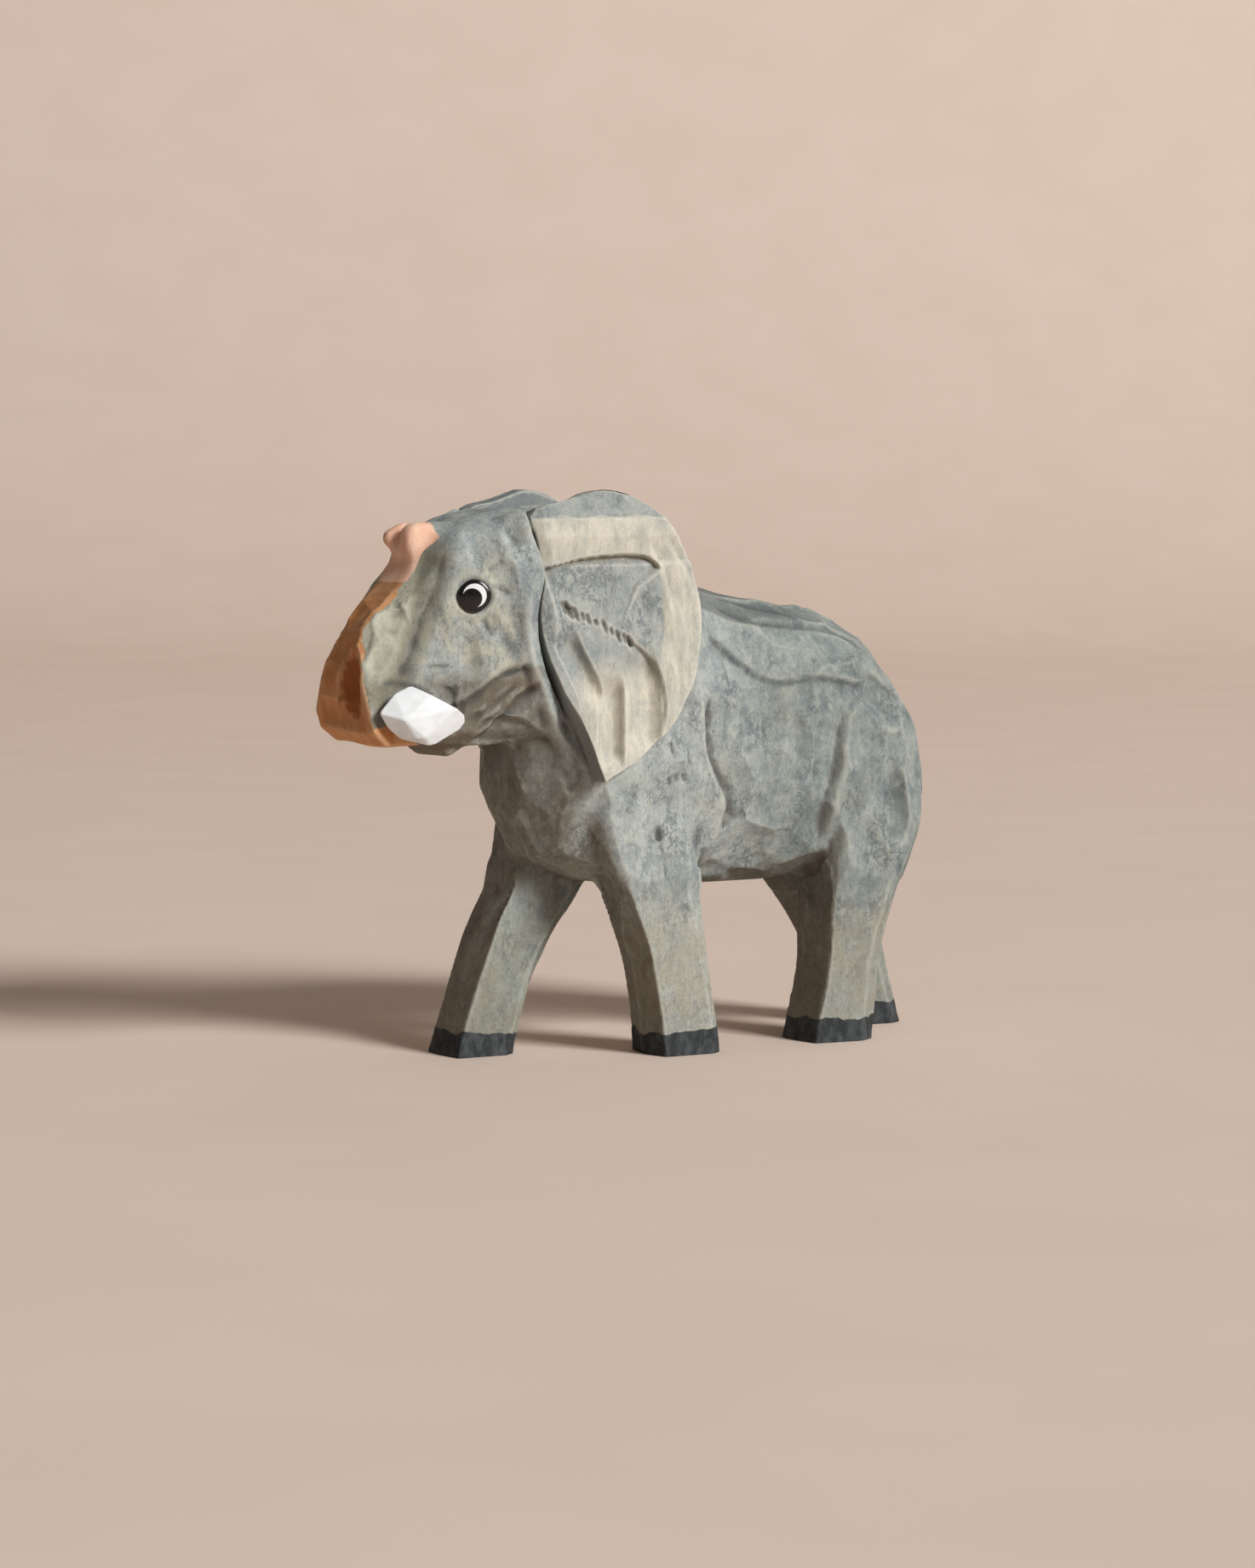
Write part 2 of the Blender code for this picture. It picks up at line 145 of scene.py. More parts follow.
def add_object(name, data):
    piece = bpy.data.objects.new(name, data)
    bpy.context.scene.collection.objects.link(piece)
    return piece


def applied(piece):
    """Bake the piece's modifiers into its mesh."""
    graph = bpy.context.evaluated_depsgraph_get()
    mesh = bpy.data.meshes.new_from_object(piece.evaluated_get(graph))
    piece.modifiers.clear()
    piece.data = mesh
    mesh.name = piece.name


def dense_copy(node, voxel, smooth_passes, knobs=(), blocks=()):
    """A fine, even mesh over a CAD node and the rounded knobs and blunt blocks that grow out of it."""
    piece = add_object("visual_" + node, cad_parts[node].data.copy())
    piece.data.materials.clear()
    work = bmesh.new()
    work.from_mesh(piece.data)
    for centre, radii in knobs:
        size = Matrix.Diagonal((*(radius * MM for radius in radii), 1.0))
        place = Matrix.Translation(spot(*centre)) @ size
        bmesh.ops.create_icosphere(work, subdivisions=3, radius=1.0, matrix=place)
    for corners, groups in blocks:
        for group in groups:
            posts = [work.verts.new(spot(x * side, y, z)) for x, y, z in corners for side in group]
            bmesh.ops.convex_hull(work, input=posts)
    work.to_mesh(piece.data)
    work.free()
    remesh = piece.modifiers.new("even_mesh", "REMESH")
    remesh.mode = "VOXEL"
    remesh.voxel_size = voxel * MM
    applied(piece)
    surface = Surface(piece)
    surface.soften(smooth_passes)
    return surface


def thin_out(piece):
    """Fewer triangles where the surface is flat, so that the piece stays under the limit."""
    triangles = sum(len(face.vertices) - 2 for face in piece.data.polygons)
    if triangles <= MOST_TRIANGLES:
        return
    fewer = piece.modifiers.new("fewer_triangles", "DECIMATE")
    fewer.ratio = MOST_TRIANGLES / triangles
    applied(piece)


def stand_in(piece, node):
    """Put a finished piece in the place of its CAD node."""
    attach(piece, "root")
    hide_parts(node)


def finish_piece(surface, material, node):
    surface.update()
    surface.write_marks()
    piece = surface.piece
    thin_out(piece)
    piece.data.shade_smooth()
    piece.data.materials.clear()
    piece.data.materials.append(material)
    stand_in(piece, node)


# ---------------- knife work

def scatter(points, spacing, rng):
    """Indices of points picked at random, no two closer than the spacing at the later one."""
    free = np.ones(len(points), bool)
    chosen = []
    for i in rng.permutation(len(points)):
        if not free[i]:
            continue
        chosen.append(i)
        free &= ((points - points[i]) ** 2).sum(1) > spacing[i] ** 2
    return chosen


def whittle(surface, stroke, length, width, inset, rng, wander=0.25):
    """Height to flat knife facets all over: each is the plane at its seed, a little inside the
    surface and tilted at random, and follows the surface where that is hollow. Where two meet,
    the deeper one wins and leaves a crisp ridge."""
    co = surface.co
    normal = unit(surface.spread(surface.normal, 4))
    seeds = scatter(co, 1.2 * np.sqrt(length * width), rng)
    cut = np.zeros(surface.count)
    for i in seeds:
        size = 1.0 + 0.3 * rng.uniform(-1.0, 1.0, 3)
        lean = rng.uniform(-1.0, 1.0, 2)
        along = unit(stroke[i] + wander * rng.normal(size=3))
        along = unit(along - normal[i] * along.dot(normal[i]))
        across = np.cross(normal[i], along)
        offset = co - co[i]
        facing = normal @ normal[i]
        near = np.nonzero((np.abs(offset).max(1) < 2.0 * length[i]) & (facing > 0.3))[0]
        x = (offset[near] @ along) / (length[i] * size[0])
        y = (offset[near] @ across) / (width[i] * size[1])
        fall = np.maximum(-(offset[near] @ normal[i]) / facing[near], 0.0)
        wall = ((x * x + y * y) / 1.6) ** 2
        lift = inset[i] * size[2] * (wall + lean[0] * x + lean[1] * y - 1.0)
        cut[near] = np.minimum(cut[near], fall + lift)
    return cut


def rounded(line):
    """Chaikin's corner cutting: a drawn line with its corners rounded off."""
    line = np.asarray(line, float)
    for _ in range(2):
        near = 0.75 * line[:-1] + 0.25 * line[1:]
        far = 0.25 * line[:-1] + 0.75 * line[1:]
        middle = np.stack([near, far], 1).reshape(-1, 2)
        line = np.vstack([line[:1], middle, line[-1:]])
    return line


def trace(line, x, y):
    """For points of a flat view: distance from a drawn line with its corners rounded, side of it
    (left is positive) and how far along it, from 0 to 1."""
    line = rounded(line)
    lengths = np.linalg.norm(line[1:] - line[:-1], axis=1)
    starts = np.concatenate([[0.0], np.cumsum(lengths)])
    best = np.full(len(x), 1e9)
    side = np.zeros(len(x))
    place = np.zeros(len(x))
    for k, (a, b) in enumerate(zip(line[:-1], line[1:])):
        step = (b - a) / lengths[k]
        px, py = x - a[0], y - a[1]
        t = np.clip(px * step[0] + py * step[1], 0.0, lengths[k])
        gap = np.hypot(px - t * step[0], py - t * step[1])
        closer = gap < best
        best[closer] = gap[closer]
        side[closer] = np.sign(step[0] * py - step[1] * px)[closer]
        place[closer] = ((starts[k] + t) / starts[-1])[closer]
    return best, side, place


def ends_fade(place, share):
    return rise(place, 0.0, share) * rise(1.0 - place, 0.0, share)


def groove(line, x, y, width, depth, fade, power):
    """V-shaped cut along a line, shallower at its ends. Returns the height and its mask."""
    gap, _, place = trace(line, x, y)
    mask = np.maximum(1.0 - gap / width, 0.0) ** power * ends_fade(place, fade)
    return -depth * mask, mask


def shelf(line, x, y, low_side, reach, depth, fade, lip):
    """A step along a line: the ground on the low side drops at once and climbs back slowly."""
    gap, side, place = trace(line, x, y)
    signed = gap * side * low_side
    drop = np.where(signed > 0.0, np.exp(-signed / reach), np.clip(1.0 + signed / lip, 0.0, 1.0))
    fading = ends_fade(place, fade)
    mask = np.maximum(1.0 - gap / 0.9, 0.0) * fading
    return -depth * drop * fading, mask


def carve_lines(x, y, shelves, grooves):
    """Height of steps and grooves together, and the pigment that lies in them."""
    height = np.zeros(len(x))
    pigment = np.zeros(len(x))
    for line, low_side, reach, depth, fade, lip, share in shelves:
        cut, mask = shelf(line, x, y, low_side, reach, depth, fade, lip)
        height += cut
        pigment = np.maximum(pigment, share * mask)
    for lines, width, depth, fade, power, share in grooves:
        for line in lines:
            cut, mask = groove(line, x, y, width, depth, fade, power)
            height += cut
            pigment = np.maximum(pigment, share * mask)
    return height, pigment


def scoop(x, y, centre, radii, turn, depth):
    """One gouge cut with a crisp rim: a shallow bowl in a flat view."""
    c, s = math.cos(math.radians(turn)), math.sin(math.radians(turn))
    px, py = x - centre[0], y - centre[1]
    far = ((px * c + py * s) / radii[0]) ** 2 + ((py * c - px * s) / radii[1]) ** 2
    return -depth * np.maximum(1.0 - far, 0.0)


def lumps(co, size, rng, waves=24):
    """Gentle unevenness between about -1 and 1 from a sum of random waves."""
    total = np.zeros(len(co))
    for _ in range(waves):
        wave = rng.normal(size=3) * (2.0 * math.pi / size) * 0.6
        total += np.sin(co @ wave + rng.uniform(0.0, 2.0 * math.pi))
    return total / math.sqrt(waves)


# ---------------- the carved block

# Lines of the side view: (forward, up)
BACK_FOLDS = (
    ((-8.9, 75.7), (-12.2, 73.7), (-16.3, 71.8), (-24.2, 71.0), (-32.2, 70.5), (-39.1, 68.2)),
    ((-6.0, 78.4), (-12.4, 76.6), (-18.0, 74.6), (-26.6, 73.4), (-33.7, 71.2), (-42.0, 65.4)),
)
FLANK_FOLD = ((-6.3, 70.4), (-9.8, 67.8), (-12.5, 65.2), (-15.5, 63.2), (-19.7, 61.3),
              (-24.2, 61.8), (-27.9, 62.3), (-32.9, 61.3), (-38.2, 60.5), (-38.9, 62.8))
HAUNCH_FOLD = ((-38.9, 62.6), (-42.3, 60.6), (-46.5, 57.7))
HAUNCH_ARC = ((-33.2, 53.5), (-34.6, 57.0), (-36.7, 58.9), (-39.2, 58.8), (-41.3, 56.8), (-43.6, 53.8))
HAUNCH_STEP = ((-38.3, 51.6), (-41.7, 52.1), (-45.6, 52.0))
FLANK_EDGE = ((-6.9, 61.5), (-5.8, 57.0), (-6.1, 52.2), (-7.6, 48.1), (-10.8, 43.1), (-10.7, 39.5),
              (-9.4, 34.5))
FLANK_VALLEY = ((-31.7, 60.2), (-29.3, 55.3), (-27.8, 49.6), (-27.4, 44.6))
THIGH_EDGE = ((-33.6, 57.8), (-33.3, 53.5), (-32.1, 48.0), (-30.6, 43.2), (-29.6, 39.0), (-30.2, 33.0))
SHOULDER_RIDGE = ((13.9, 45.2), (9.7, 42.6), (6.5, 40.1))
TRUNK_GROOVE = ((39.2, 87.5), (40.8, 82.9), (42.1, 78.9), (43.8, 73.6), (45.5, 68.8), (47.3, 64.4),
                (50.4, 59.6))
TEMPLE_RIDGE = ((31.2, 89.6), (31.2, 84.9), (29.5, 79.4), (28.6, 71.9), (27.4, 64.8), (22.3, 56.6),
                (18.0, 50.6), (14.9, 45.4))
EAR_GROOVE = ((27.6, 88.5), (26.6, 84.0), (25.8, 79.0), (26.6, 73.7), (26.4, 68.0), (24.2, 61.9),
              (19.6, 55.2), (15.9, 46.4))
MOUTH = ((40.5, 58.2), (37.4, 59.6), (34.0, 62.4), (31.4, 64.8), (27.6, 65.4))
JAW_EDGE = ((39.4, 49.8), (36.6, 50.2), (34.0, 53.6), (32.1, 55.8), (29.0, 60.1), (26.0, 63.2))
# the cheek's lower edge over the tusk, drawn dark as a painted shadow
TUSK_LINE = ((51.5, 62.0), (49.6, 63.5), (45.4, 62.1), (42.4, 60.1), (40.5, 58.6))
JAW_CUTS = (((36.6, 56.4), (32.6, 59.6), (29.4, 62.6)), ((35.2, 54.9), (31.4, 58.2), (28.4, 61.4)))
EYE_CREASES = (((34.0, 78.6), (30.9, 77.2)), ((34.4, 80.8), (31.6, 82.6)), ((35.0, 73.4), (33.4, 70.2)))
SHOULDER_NICKS = (((1.6, 52.6), (1.2, 50.6)), ((-0.9, 47.4), (-1.4, 45.8)), ((0.4, 47.3), (-0.1, 45.6)),
                  ((1.7, 46.9), (1.2, 45.2)), ((-1.6, 50.2), (-2.2, 48.0)))
KNOT = (2.9, 37.2)
KNOT_CRACK = ((2.7, 36.6), (2.3, 33.1), (2.0, 29.0))
# Steps: line, low side (1 is the left of the line), reach, depth, fade, lip, pigment
SHELVES = (
    (BACK_FOLDS[0], -1.0, 3.4, 0.5, 0.15, 0.8, 0.75),
    (BACK_FOLDS[1], -1.0, 3.4, 0.5, 0.15, 0.8, 0.75),
    (FLANK_FOLD, 1.0, 5.0, 0.6, 0.1, 0.8, 0.8),
    (HAUNCH_FOLD, 1.0, 3.0, 0.4, 0.15, 0.8, 0.7),
    (HAUNCH_ARC, -1.0, 3.0, 0.3, 0.15, 0.8, 0.15),
    (HAUNCH_STEP, 1.0, 3.0, 0.3, 0.15, 0.8, 0.1),
    (FLANK_EDGE, -1.0, 5.0, 1.5, 0.2, 1.3, 0.35),
    (THIGH_EDGE, 1.0, 5.0, 1.3, 0.2, 1.3, 0.35),
    (MOUTH, 1.0, 3.0, 1.1, 0.08, 0.8, 0.6),
    (JAW_EDGE, 1.0, 4.0, 1.2, 0.1, 0.8, 0.2),
)
# Grooves, and ridges where the depth is negative: lines, width, depth, fade, power, pigment
GROOVES = (
    ((FLANK_VALLEY,), 3.2, 0.45, 0.15, 1.3, 0.0),
    ((TRUNK_GROOVE,), 2.4, 1.1, 0.3, 1.0, 0.0),
    # the tusk line's pigment is a painted shadow cast by the cheek over the tusk
    ((TUSK_LINE,), 1.2, 0.5, 0.15, 1.3, 0.8),
    (JAW_CUTS, 0.7, 0.4, 0.15, 1.3, 0.5),
    (EYE_CREASES, 0.9, 0.3, 0.15, 1.3, 0.5),
    (SHOULDER_NICKS, 0.6, 0.35, 0.15, 1.3, 0.8),
    ((KNOT_CRACK,), 0.5, 0.3, 0.15, 1.3, 0.6),
    ((TEMPLE_RIDGE,), 1.9, -0.55, 0.1, 1.4, 0.0),
    ((SHOULDER_RIDGE,), 2.0, -0.4, 0.15, 1.3, 0.0),
)
# Gouge cuts of the belly, flank and cheek: middle, radii, turn in degrees, depth
SCOOPS = (
    ((-15.2, 34.4), (6.2, 3.6), 8.0, 0.75), ((-14.0, 39.6), (5.4, 3.4), -20.0, 0.5),
    ((-22.6, 35.4), (4.6, 3.6), 40.0, 0.7),
    ((-12.6, 30.4), (5.4, 2.2), 0.0, 0.6), ((-20.4, 30.6), (4.6, 2.2), 10.0, 0.6),
    ((-17.6, 55.0), (5.4, 7.6), 15.0, 0.45), ((-24.6, 55.2), (3.8, 8.4), -8.0, 0.4),
    ((-13.4, 47.8), (4.2, 7.0), -12.0, 0.35), ((-20.6, 44.0), (5.6, 5.4), 30.0, 0.5),
    ((-38.6, 45.0), (3.8, 9.0), -8.0, 0.45), ((-44.4, 43.6), (3.6, 9.6), -4.0, 0.45),
    ((-34.8, 39.0), (2.8, 8.6), 6.0, 0.4), ((4.0, 49.2), (4.0, 6.4), 30.0, 0.35),
    ((-30.6, 66.6), (7.4, 2.8), -4.0, 0.45), ((-20.4, 66.2), (6.6, 3.0), -14.0, 0.45),
    ((37.6, 67.6), (4.8, 3.8), 14.0, 0.35), ((31.8, 72.4), (2.2, 5.6), -6.0, 0.3),
    ((29.6, 85.6), (1.6, 3.6), 6.0, 0.5), ((34.6, 85.4), (2.6, 3.0), 20.0, 0.3),
)
HOOF_TOP = 4.0

# Rounded knobs of the trunk's tip: (outward, forward, up), radii
KNOBS = (
    ((-2.7, 43.2, 86.0), (1.9, 1.9, 1.8)),
    ((2.0, 40.9, 87.0), (1.8, 1.8, 1.8)),
)
# Corners of blunt blocks on the left half, which are mirrored
TRUNK_END = ((9.3, 54.1, 58.4), (9.3, 53.4, 55.0), (9.0, 50.8, 52.7), (8.4, 44.0, 52.7),
             (7.6, 53.9, 62.4), (7.6, 44.0, 62.0))
LOWER_LIP = ((5.6, 39.4, 51.9), (5.4, 37.8, 50.5), (5.9, 36.6, 50.9), (5.8, 32.6, 53.8),
             (6.4, 39.0, 56.0), (6.4, 32.0, 58.0))
TEMPLE = ((14.2, 26.9, 86.0), (13.8, 26.9, 88.2), (12.6, 26.9, 90.2), (9.0, 26.9, 91.2),
          (8.5, 32.0, 89.0), (10.5, 31.5, 85.0), (14.6, 26.7, 83.0), (8.5, 25.0, 84.0))
ACROSS = ((1.0, -1.0),)         # one block through the middle
EACH_SIDE = ((1.0,), (-1.0,))   # a block on either side
BLOCKS = ((TRUNK_END, ACROSS), (LOWER_LIP, ACROSS), (TEMPLE, EACH_SIDE))
# Edge of the painted underside of the trunk: up, forward, outward
UNDERSIDE_EDGE = (
    (52.5, 46.0, 9.4), (54.7, 50.0, 9.4), (58.0, 54.0, 9.2), (63.2, 54.2, 7.3), (68.2, 53.9, 5.2),
    (71.5, 52.8, 4.2), (74.2, 51.4, 4.1), (79.2, 46.0, 3.9), (83.2, 43.0, 3.8),
)
# Edge of the pink tip: forward, up
TIP_EDGE = ((36.0, 86.6), (39.8, 85.6), (41.6, 84.0), (43.0, 81.0), (44.6, 79.0), (60.0, 78.4))


# Legs: side, forward place of the foot, lean (forward travel for each step up)
LEGS = ((1.0, -4.6, 0.17), (-1.0, 25.9, -0.36), (1.0, -35.5, -0.04), (-1.0, -53.6, 0.22))
LEG_FACETS = (6.0, 83.0, 101.0, 174.0, 212.0, 250.0, 290.0, 328.0)     # degrees from +x to the front
LEG_LEVEL_STEP = 2.0
LEG_TOP = 32.0


def leg_parts(surface):
    """For each leg: its points, and their place from the leg's own axis, outward and forward."""
    for side, foot, lean in LEGS:
        axis = foot + lean * surface.up
        mine = (surface.outward * side > 0.0) & (np.abs(surface.forward - axis) < 10.5)
        low = np.nonzero(mine & (surface.up < 22.0))[0]
        across = np.polyfit(surface.up[low], surface.outward[low], 1)
        along = np.polyfit(surface.up[low], surface.forward[low], 2)
        chosen = np.nonzero(mine & (surface.up < LEG_TOP))[0]
        level = surface.up[chosen]
        x = surface.outward[chosen] - np.polyval(across, level)
        low_level = np.minimum(level, 24.0)
        lean_here = np.polyval(np.polyder(along), low_level)
        y = surface.forward[chosen] - np.polyval(along, low_level) - lean_here * (level - low_level)
        yield lean, chosen, x, y


def square_legs(surface, rng):
    """Give every leg long flat facets that meet in crisp edges."""
    levels = np.arange(0.0, LEG_TOP, LEG_LEVEL_STEP)
    for _, chosen, x, y in leg_parts(surface):
        level = surface.up[chosen]
        radius = np.hypot(x, y)
        turn = np.arctan2(y, x)
        best = np.full(len(chosen), 1e9)
        for facet in LEG_FACETS:
            facing = math.radians(facet + 3.0 * rng.uniform(-1.0, 1.0))
            reach = x * math.cos(facing) + y * math.sin(facing)
            support = []
            for height in levels:
                near = np.abs(level - height) < 1.5
                support.append(reach[near].max() if height < 25.0 else support[-1])
            support = np.convolve(np.pad(support, 2, mode="edge"), np.ones(5) / 5.0, "valid")
            support = support - 0.25 - 0.35 * rng.uniform(0.0, 1.0)
            bends = np.interp(level, (0.0, 10.0, 20.0, 32.0), rng.uniform(-0.15, 0.1, 4))
            slant = np.cos(turn - facing)
            wall = (np.interp(level, levels, support) + bends) / np.maximum(slant, 0.15)
            best = np.where(slant > 0.15, np.minimum(best, wall), best)
        share = rise(LEG_TOP - level, 0.0, 8.0) * rise(10.5 - radius, 0.0, 2.0)
        scale = 1.0 + (best / np.maximum(radius, 0.5) - 1.0) * share * rise(radius, 2.0, 4.0)
        surface.co[chosen, 0] += x * (scale - 1.0)
        surface.co[chosen, 1] -= y * (scale - 1.0)
    surface.update()


def stroke_field(surface):
    """Direction of the knife: along the legs, up the face, in low sweeps over the back, round the rump."""
    forward, up = surface.forward, surface.up
    slope = -0.55 * rise(-forward, 34.0, 52.0) - 0.25 * rise(-forward, 4.0, 20.0) * rise(forward, -20.0, -4.0)
    over = rise(up, 56.0, 64.0) * rise(-forward, -10.0, -2.0)
    field = np.zeros((surface.count, 3))
    field[:, 1] = -over - 0.15 * (1.0 - over)
    field[:, 2] = slope * over + 1.0 - over
    for lean, chosen, _, _ in leg_parts(surface):
        field[chosen] = (0.0, -lean, 1.0)
    return unit(field)


def facet_plan(surface):
    """Length, width and hollow of the knife facets at each point."""
    forward, up = surface.forward, surface.up
    leg = rise(-up, -34.0, -26.0)
    head = rise(forward, 22.0, 30.0) * rise(up, 48.0, 56.0)
    length = 7.5 + 2.5 * leg - 2.5 * head
    width = 4.6 - 1.2 * leg - 1.4 * head
    inset = 0.66 - 0.50 * leg - 0.28 * head
    return length, width, inset


def carve_sides(surface):
    """Folds, edges and gouges that are drawn on both flanks, the head and the shoulders."""
    x, y = surface.forward, surface.up
    flank = rise(np.abs(surface.normal[:, 0]), 0.2, 0.55)
    height, pigment = carve_lines(x, y, SHELVES, GROOVES)
    height *= flank
    surface.mark("crease", pigment * flank)
    sunk, mask = groove(EAR_GROOVE, x, y, 1.7, 0.9, 0.35, 1.0)
    outer_skin = rise(np.abs(surface.outward), 7.0, 9.0)
    # pigment and painted shade down the groove in front of the ear
    surface.mark("crease", 0.45 * mask * outer_skin)
    sideways = sunk * outer_skin * np.sign(surface.outward)
    for centre, radii, turn, depth in SCOOPS:
        height += 0.7 * scoop(x, y, centre, radii, turn, depth) * flank
    gap = np.hypot(x - KNOT[0], y - KNOT[1])
    surface.mark("crease", np.exp(-(gap / 0.95) ** 2) * flank)
    surface.push(height)
    surface.co[:, 0] += sideways
    surface.update()


def carve_trunk(surface):
    """The hollow in the underside of the raised trunk, its crosswise cuts and its two-knobbed tip."""
    outward, forward, up = surface.outward, surface.forward, surface.up
    front = rise(-surface.normal[:, 1], 0.2, 0.5) * rise(forward, 40.0, 44.0) * rise(up, 52.0, 53.0)
    height = scoop(outward, up, (2.8, 62.6), (3.6, 5.4), 8.0, 1.6) * front
    middle = rise(7.6 - np.abs(outward), 0.0, 2.0)
    for place, half in ((57.6, 2.4), (69.6, 3.6), (74.6, 3.0), (79.0, 2.6)):
        tilt = 0.10 * outward * math.sin(place)
        height -= 0.65 * np.clip(1.0 - ((up + tilt - place) / half) ** 2, 0.0, 1.0) * front * middle
    tip = rise(forward, 36.5, 38.0) * rise(up, 83.6, 86.4)
    height -= 1.5 * np.exp(-((outward + 0.5) / 0.8) ** 2) * tip
    waist = np.exp(-((up - 82.0) / 1.6) ** 2) * rise(forward, 39.5, 41.5)
    height -= 0.6 * waist
    surface.push(height)


def paint_trunk(surface):
    """Distances to the edges of the orange underside and the pink tip."""
    level, front_edge, side_edge = np.array(UNDERSIDE_EDGE).T
    half = np.interp(surface.up, level, side_edge)
    begin = np.interp(surface.up, level, front_edge)
    half = half + np.where(surface.outward < 0.0, 1.6, 0.0) * rise(surface.up, 64.0, 70.0)
    inner = np.minimum(half - np.abs(surface.outward), 1.2 * (surface.forward - begin + 2.6))
    inner -= 1.2 * rise(np.abs(surface.normal[:, 0]), 0.6, 0.9) * rise(surface.up, 55.0, 58.0)
    surface.gap("orange_gap", inner)
    forward, up = np.array(TIP_EDGE).T
    above = surface.up - np.interp(surface.forward, forward, up)
    block = np.minimum(surface.forward - 39.2, 5.6 - np.abs(surface.outward))
    surface.gap("pink_gap", np.minimum(above, block))


def paint_hollows(surface):
    """Masks at three breadths: pigment and painted shade in small hollows, paint worn off small ridges,
    painted shade in middling and broad hollows, and a painted highlight on middling ridges.
    """
    mark = surface.mark
    near = surface.hollowness(4)
    middling = surface.hollowness(12)
    wide = surface.hollowness(24)
    # painted shade in the facets' hollows and a painted highlight on their ridges
    mark("facet_hollow_shade", rise(middling, 0.03, 0.20))
    mark("ridge", rise(-middling, 0.04, 0.22))
    # pigment and painted shade in small hollows, then painted shade in broad hollows
    mark("crease", 0.7 * rise(near, 0.03, 0.16))
    mark("shade", rise(wide, 0.05, 0.5))
    mark("wear", rise(-near, 0.015, 0.10))


def paint_head(surface, fine, finer):
    """Masks for the jaw, the cheek, the side of the trunk, painted shade in the trunk groove, a painted
    shadow in the trunk's hollow and a painted highlight on its rim.
    """
    mark = surface.mark
    forward, up, outward = surface.forward, surface.up, surface.outward
    jaw, side, _ = trace(MOUTH, forward, up)
    low, low_side, _ = trace(JAW_EDGE, forward, up)
    strip = rise(jaw * side, -0.1, 0.3) * rise(-low * low_side, -0.4, 0.1) * rise(forward, 24.0, 27.0)
    mark("jaw", strip * rise(44.0 - forward))

    brow = np.interp(up, (57.0, 65.0, 72.0, 80.0, 90.0), (24.0, 28.5, 29.5, 31.0, 33.0))
    mark("cheek", rise(forward - brow, -1.5, 1.5) * rise(up, 60.0, 64.0) * rise(86.0 - up, 0.0, 6.0))
    # painted shade down the groove between the trunk and the cheek
    gap, _, place = trace(TRUNK_GROOVE, forward, up)
    mark("trunk_groove_shade", rise(2.6 - gap, 0.0, 2.0) * ends_fade(place, 0.15) * rise(np.abs(outward), 2.0, 4.0))
    groove_forward, groove_up = np.array(TRUNK_GROOVE[::-1]).T
    ahead = forward - np.interp(up, groove_up, groove_forward)
    mark("strip", rise(ahead, 0.4, 1.4) * rise(up, 57.0, 60.0))

    # painted shadow cast by the near rim into the hollow of the trunk's underside
    pit = ((outward - 3.0) / 3.6) ** 2 + ((up - 62.4) / 5.2) ** 2 + 0.25 * finer + 0.12 * fine
    mark("rim_cast_shadow", rise(1.15 - pit, 0.0, 0.5) * rise(forward, 46.0, 49.0))
    # painted highlight along the lit near rim of the trunk's underside
    mark("rim", rise(-np.abs(up - 62.0), -6.5, -4.0) * rise(outward))


def paint_body(surface, rng):
    """Masks for every wash on the block."""
    mark = surface.mark
    forward, up, outward = surface.forward, surface.up, surface.outward
    fine = lumps(surface.co, 5.0, rng)
    finer = lumps(surface.co, 1.8, rng)
    surface.gap("hoof_gap", HOOF_TOP + 0.45 * fine + 0.15 * finer - up)
    paint_trunk(surface)
    paint_hollows(surface)
    paint_head(surface, fine, finer)

    facing_out = surface.normal[:, 0] * np.sign(outward)
    spread = np.hypot((forward - KNOT[0]) / 0.8, (up - KNOT[1]) / 1.2) * (1.0 + 0.1 * finer)
    mark("knot", rise(1.25 - spread, 0.0, 0.5) * rise(facing_out, 0.1, 0.5))
    mark("leg", rise(30.0 - up, 0.0, 14.0))

    # painted shade on surfaces facing forward, on the throat under the jaw and on the underside
    facing_front = rise(-surface.normal[:, 1], 0.35, 0.8) * rise(66.0 - up, 0.0, 6.0)
    throat = rise(forward, 12.0, 18.0) * rise(up, 26.0, 34.0) * rise(66.0 - up, 0.0, 4.0)
    throat *= rise(forward - np.interp(up, (46.0, 56.0, 64.0), (16.5, 22.0, 27.5)), -1.0, 2.0)
    mark("front_and_under_shade", np.maximum(0.75 * facing_front, 0.85 * throat))
    mark("front_and_under_shade", 0.8 * rise(-surface.normal[:, 2], 0.6, 0.95) * rise(up, 20.0, 28.0))

    # a duller tone over the rear, and painted shade on the inner sides of the legs
    rear = rise(-forward, 2.0, 24.0) * (1.0 - 0.5 * rise(30.0 - up, 0.0, 10.0))
    inner_leg_shade = rise(-facing_out, 0.1, 0.5) * rise(36.0 - up, 0.0, 6.0)
    mark("dull_rear_and_inner_leg_shade", np.maximum(rear, inner_leg_shade))
    over = rise(up + 0.3 * (forward + 20.0) * rise(-forward, 20.0, 40.0), 69.5, 73.0)
    mark("back", over * rise(surface.normal[:, 2], 0.2, 0.7) * rise(-forward, -2.0, 2.0))


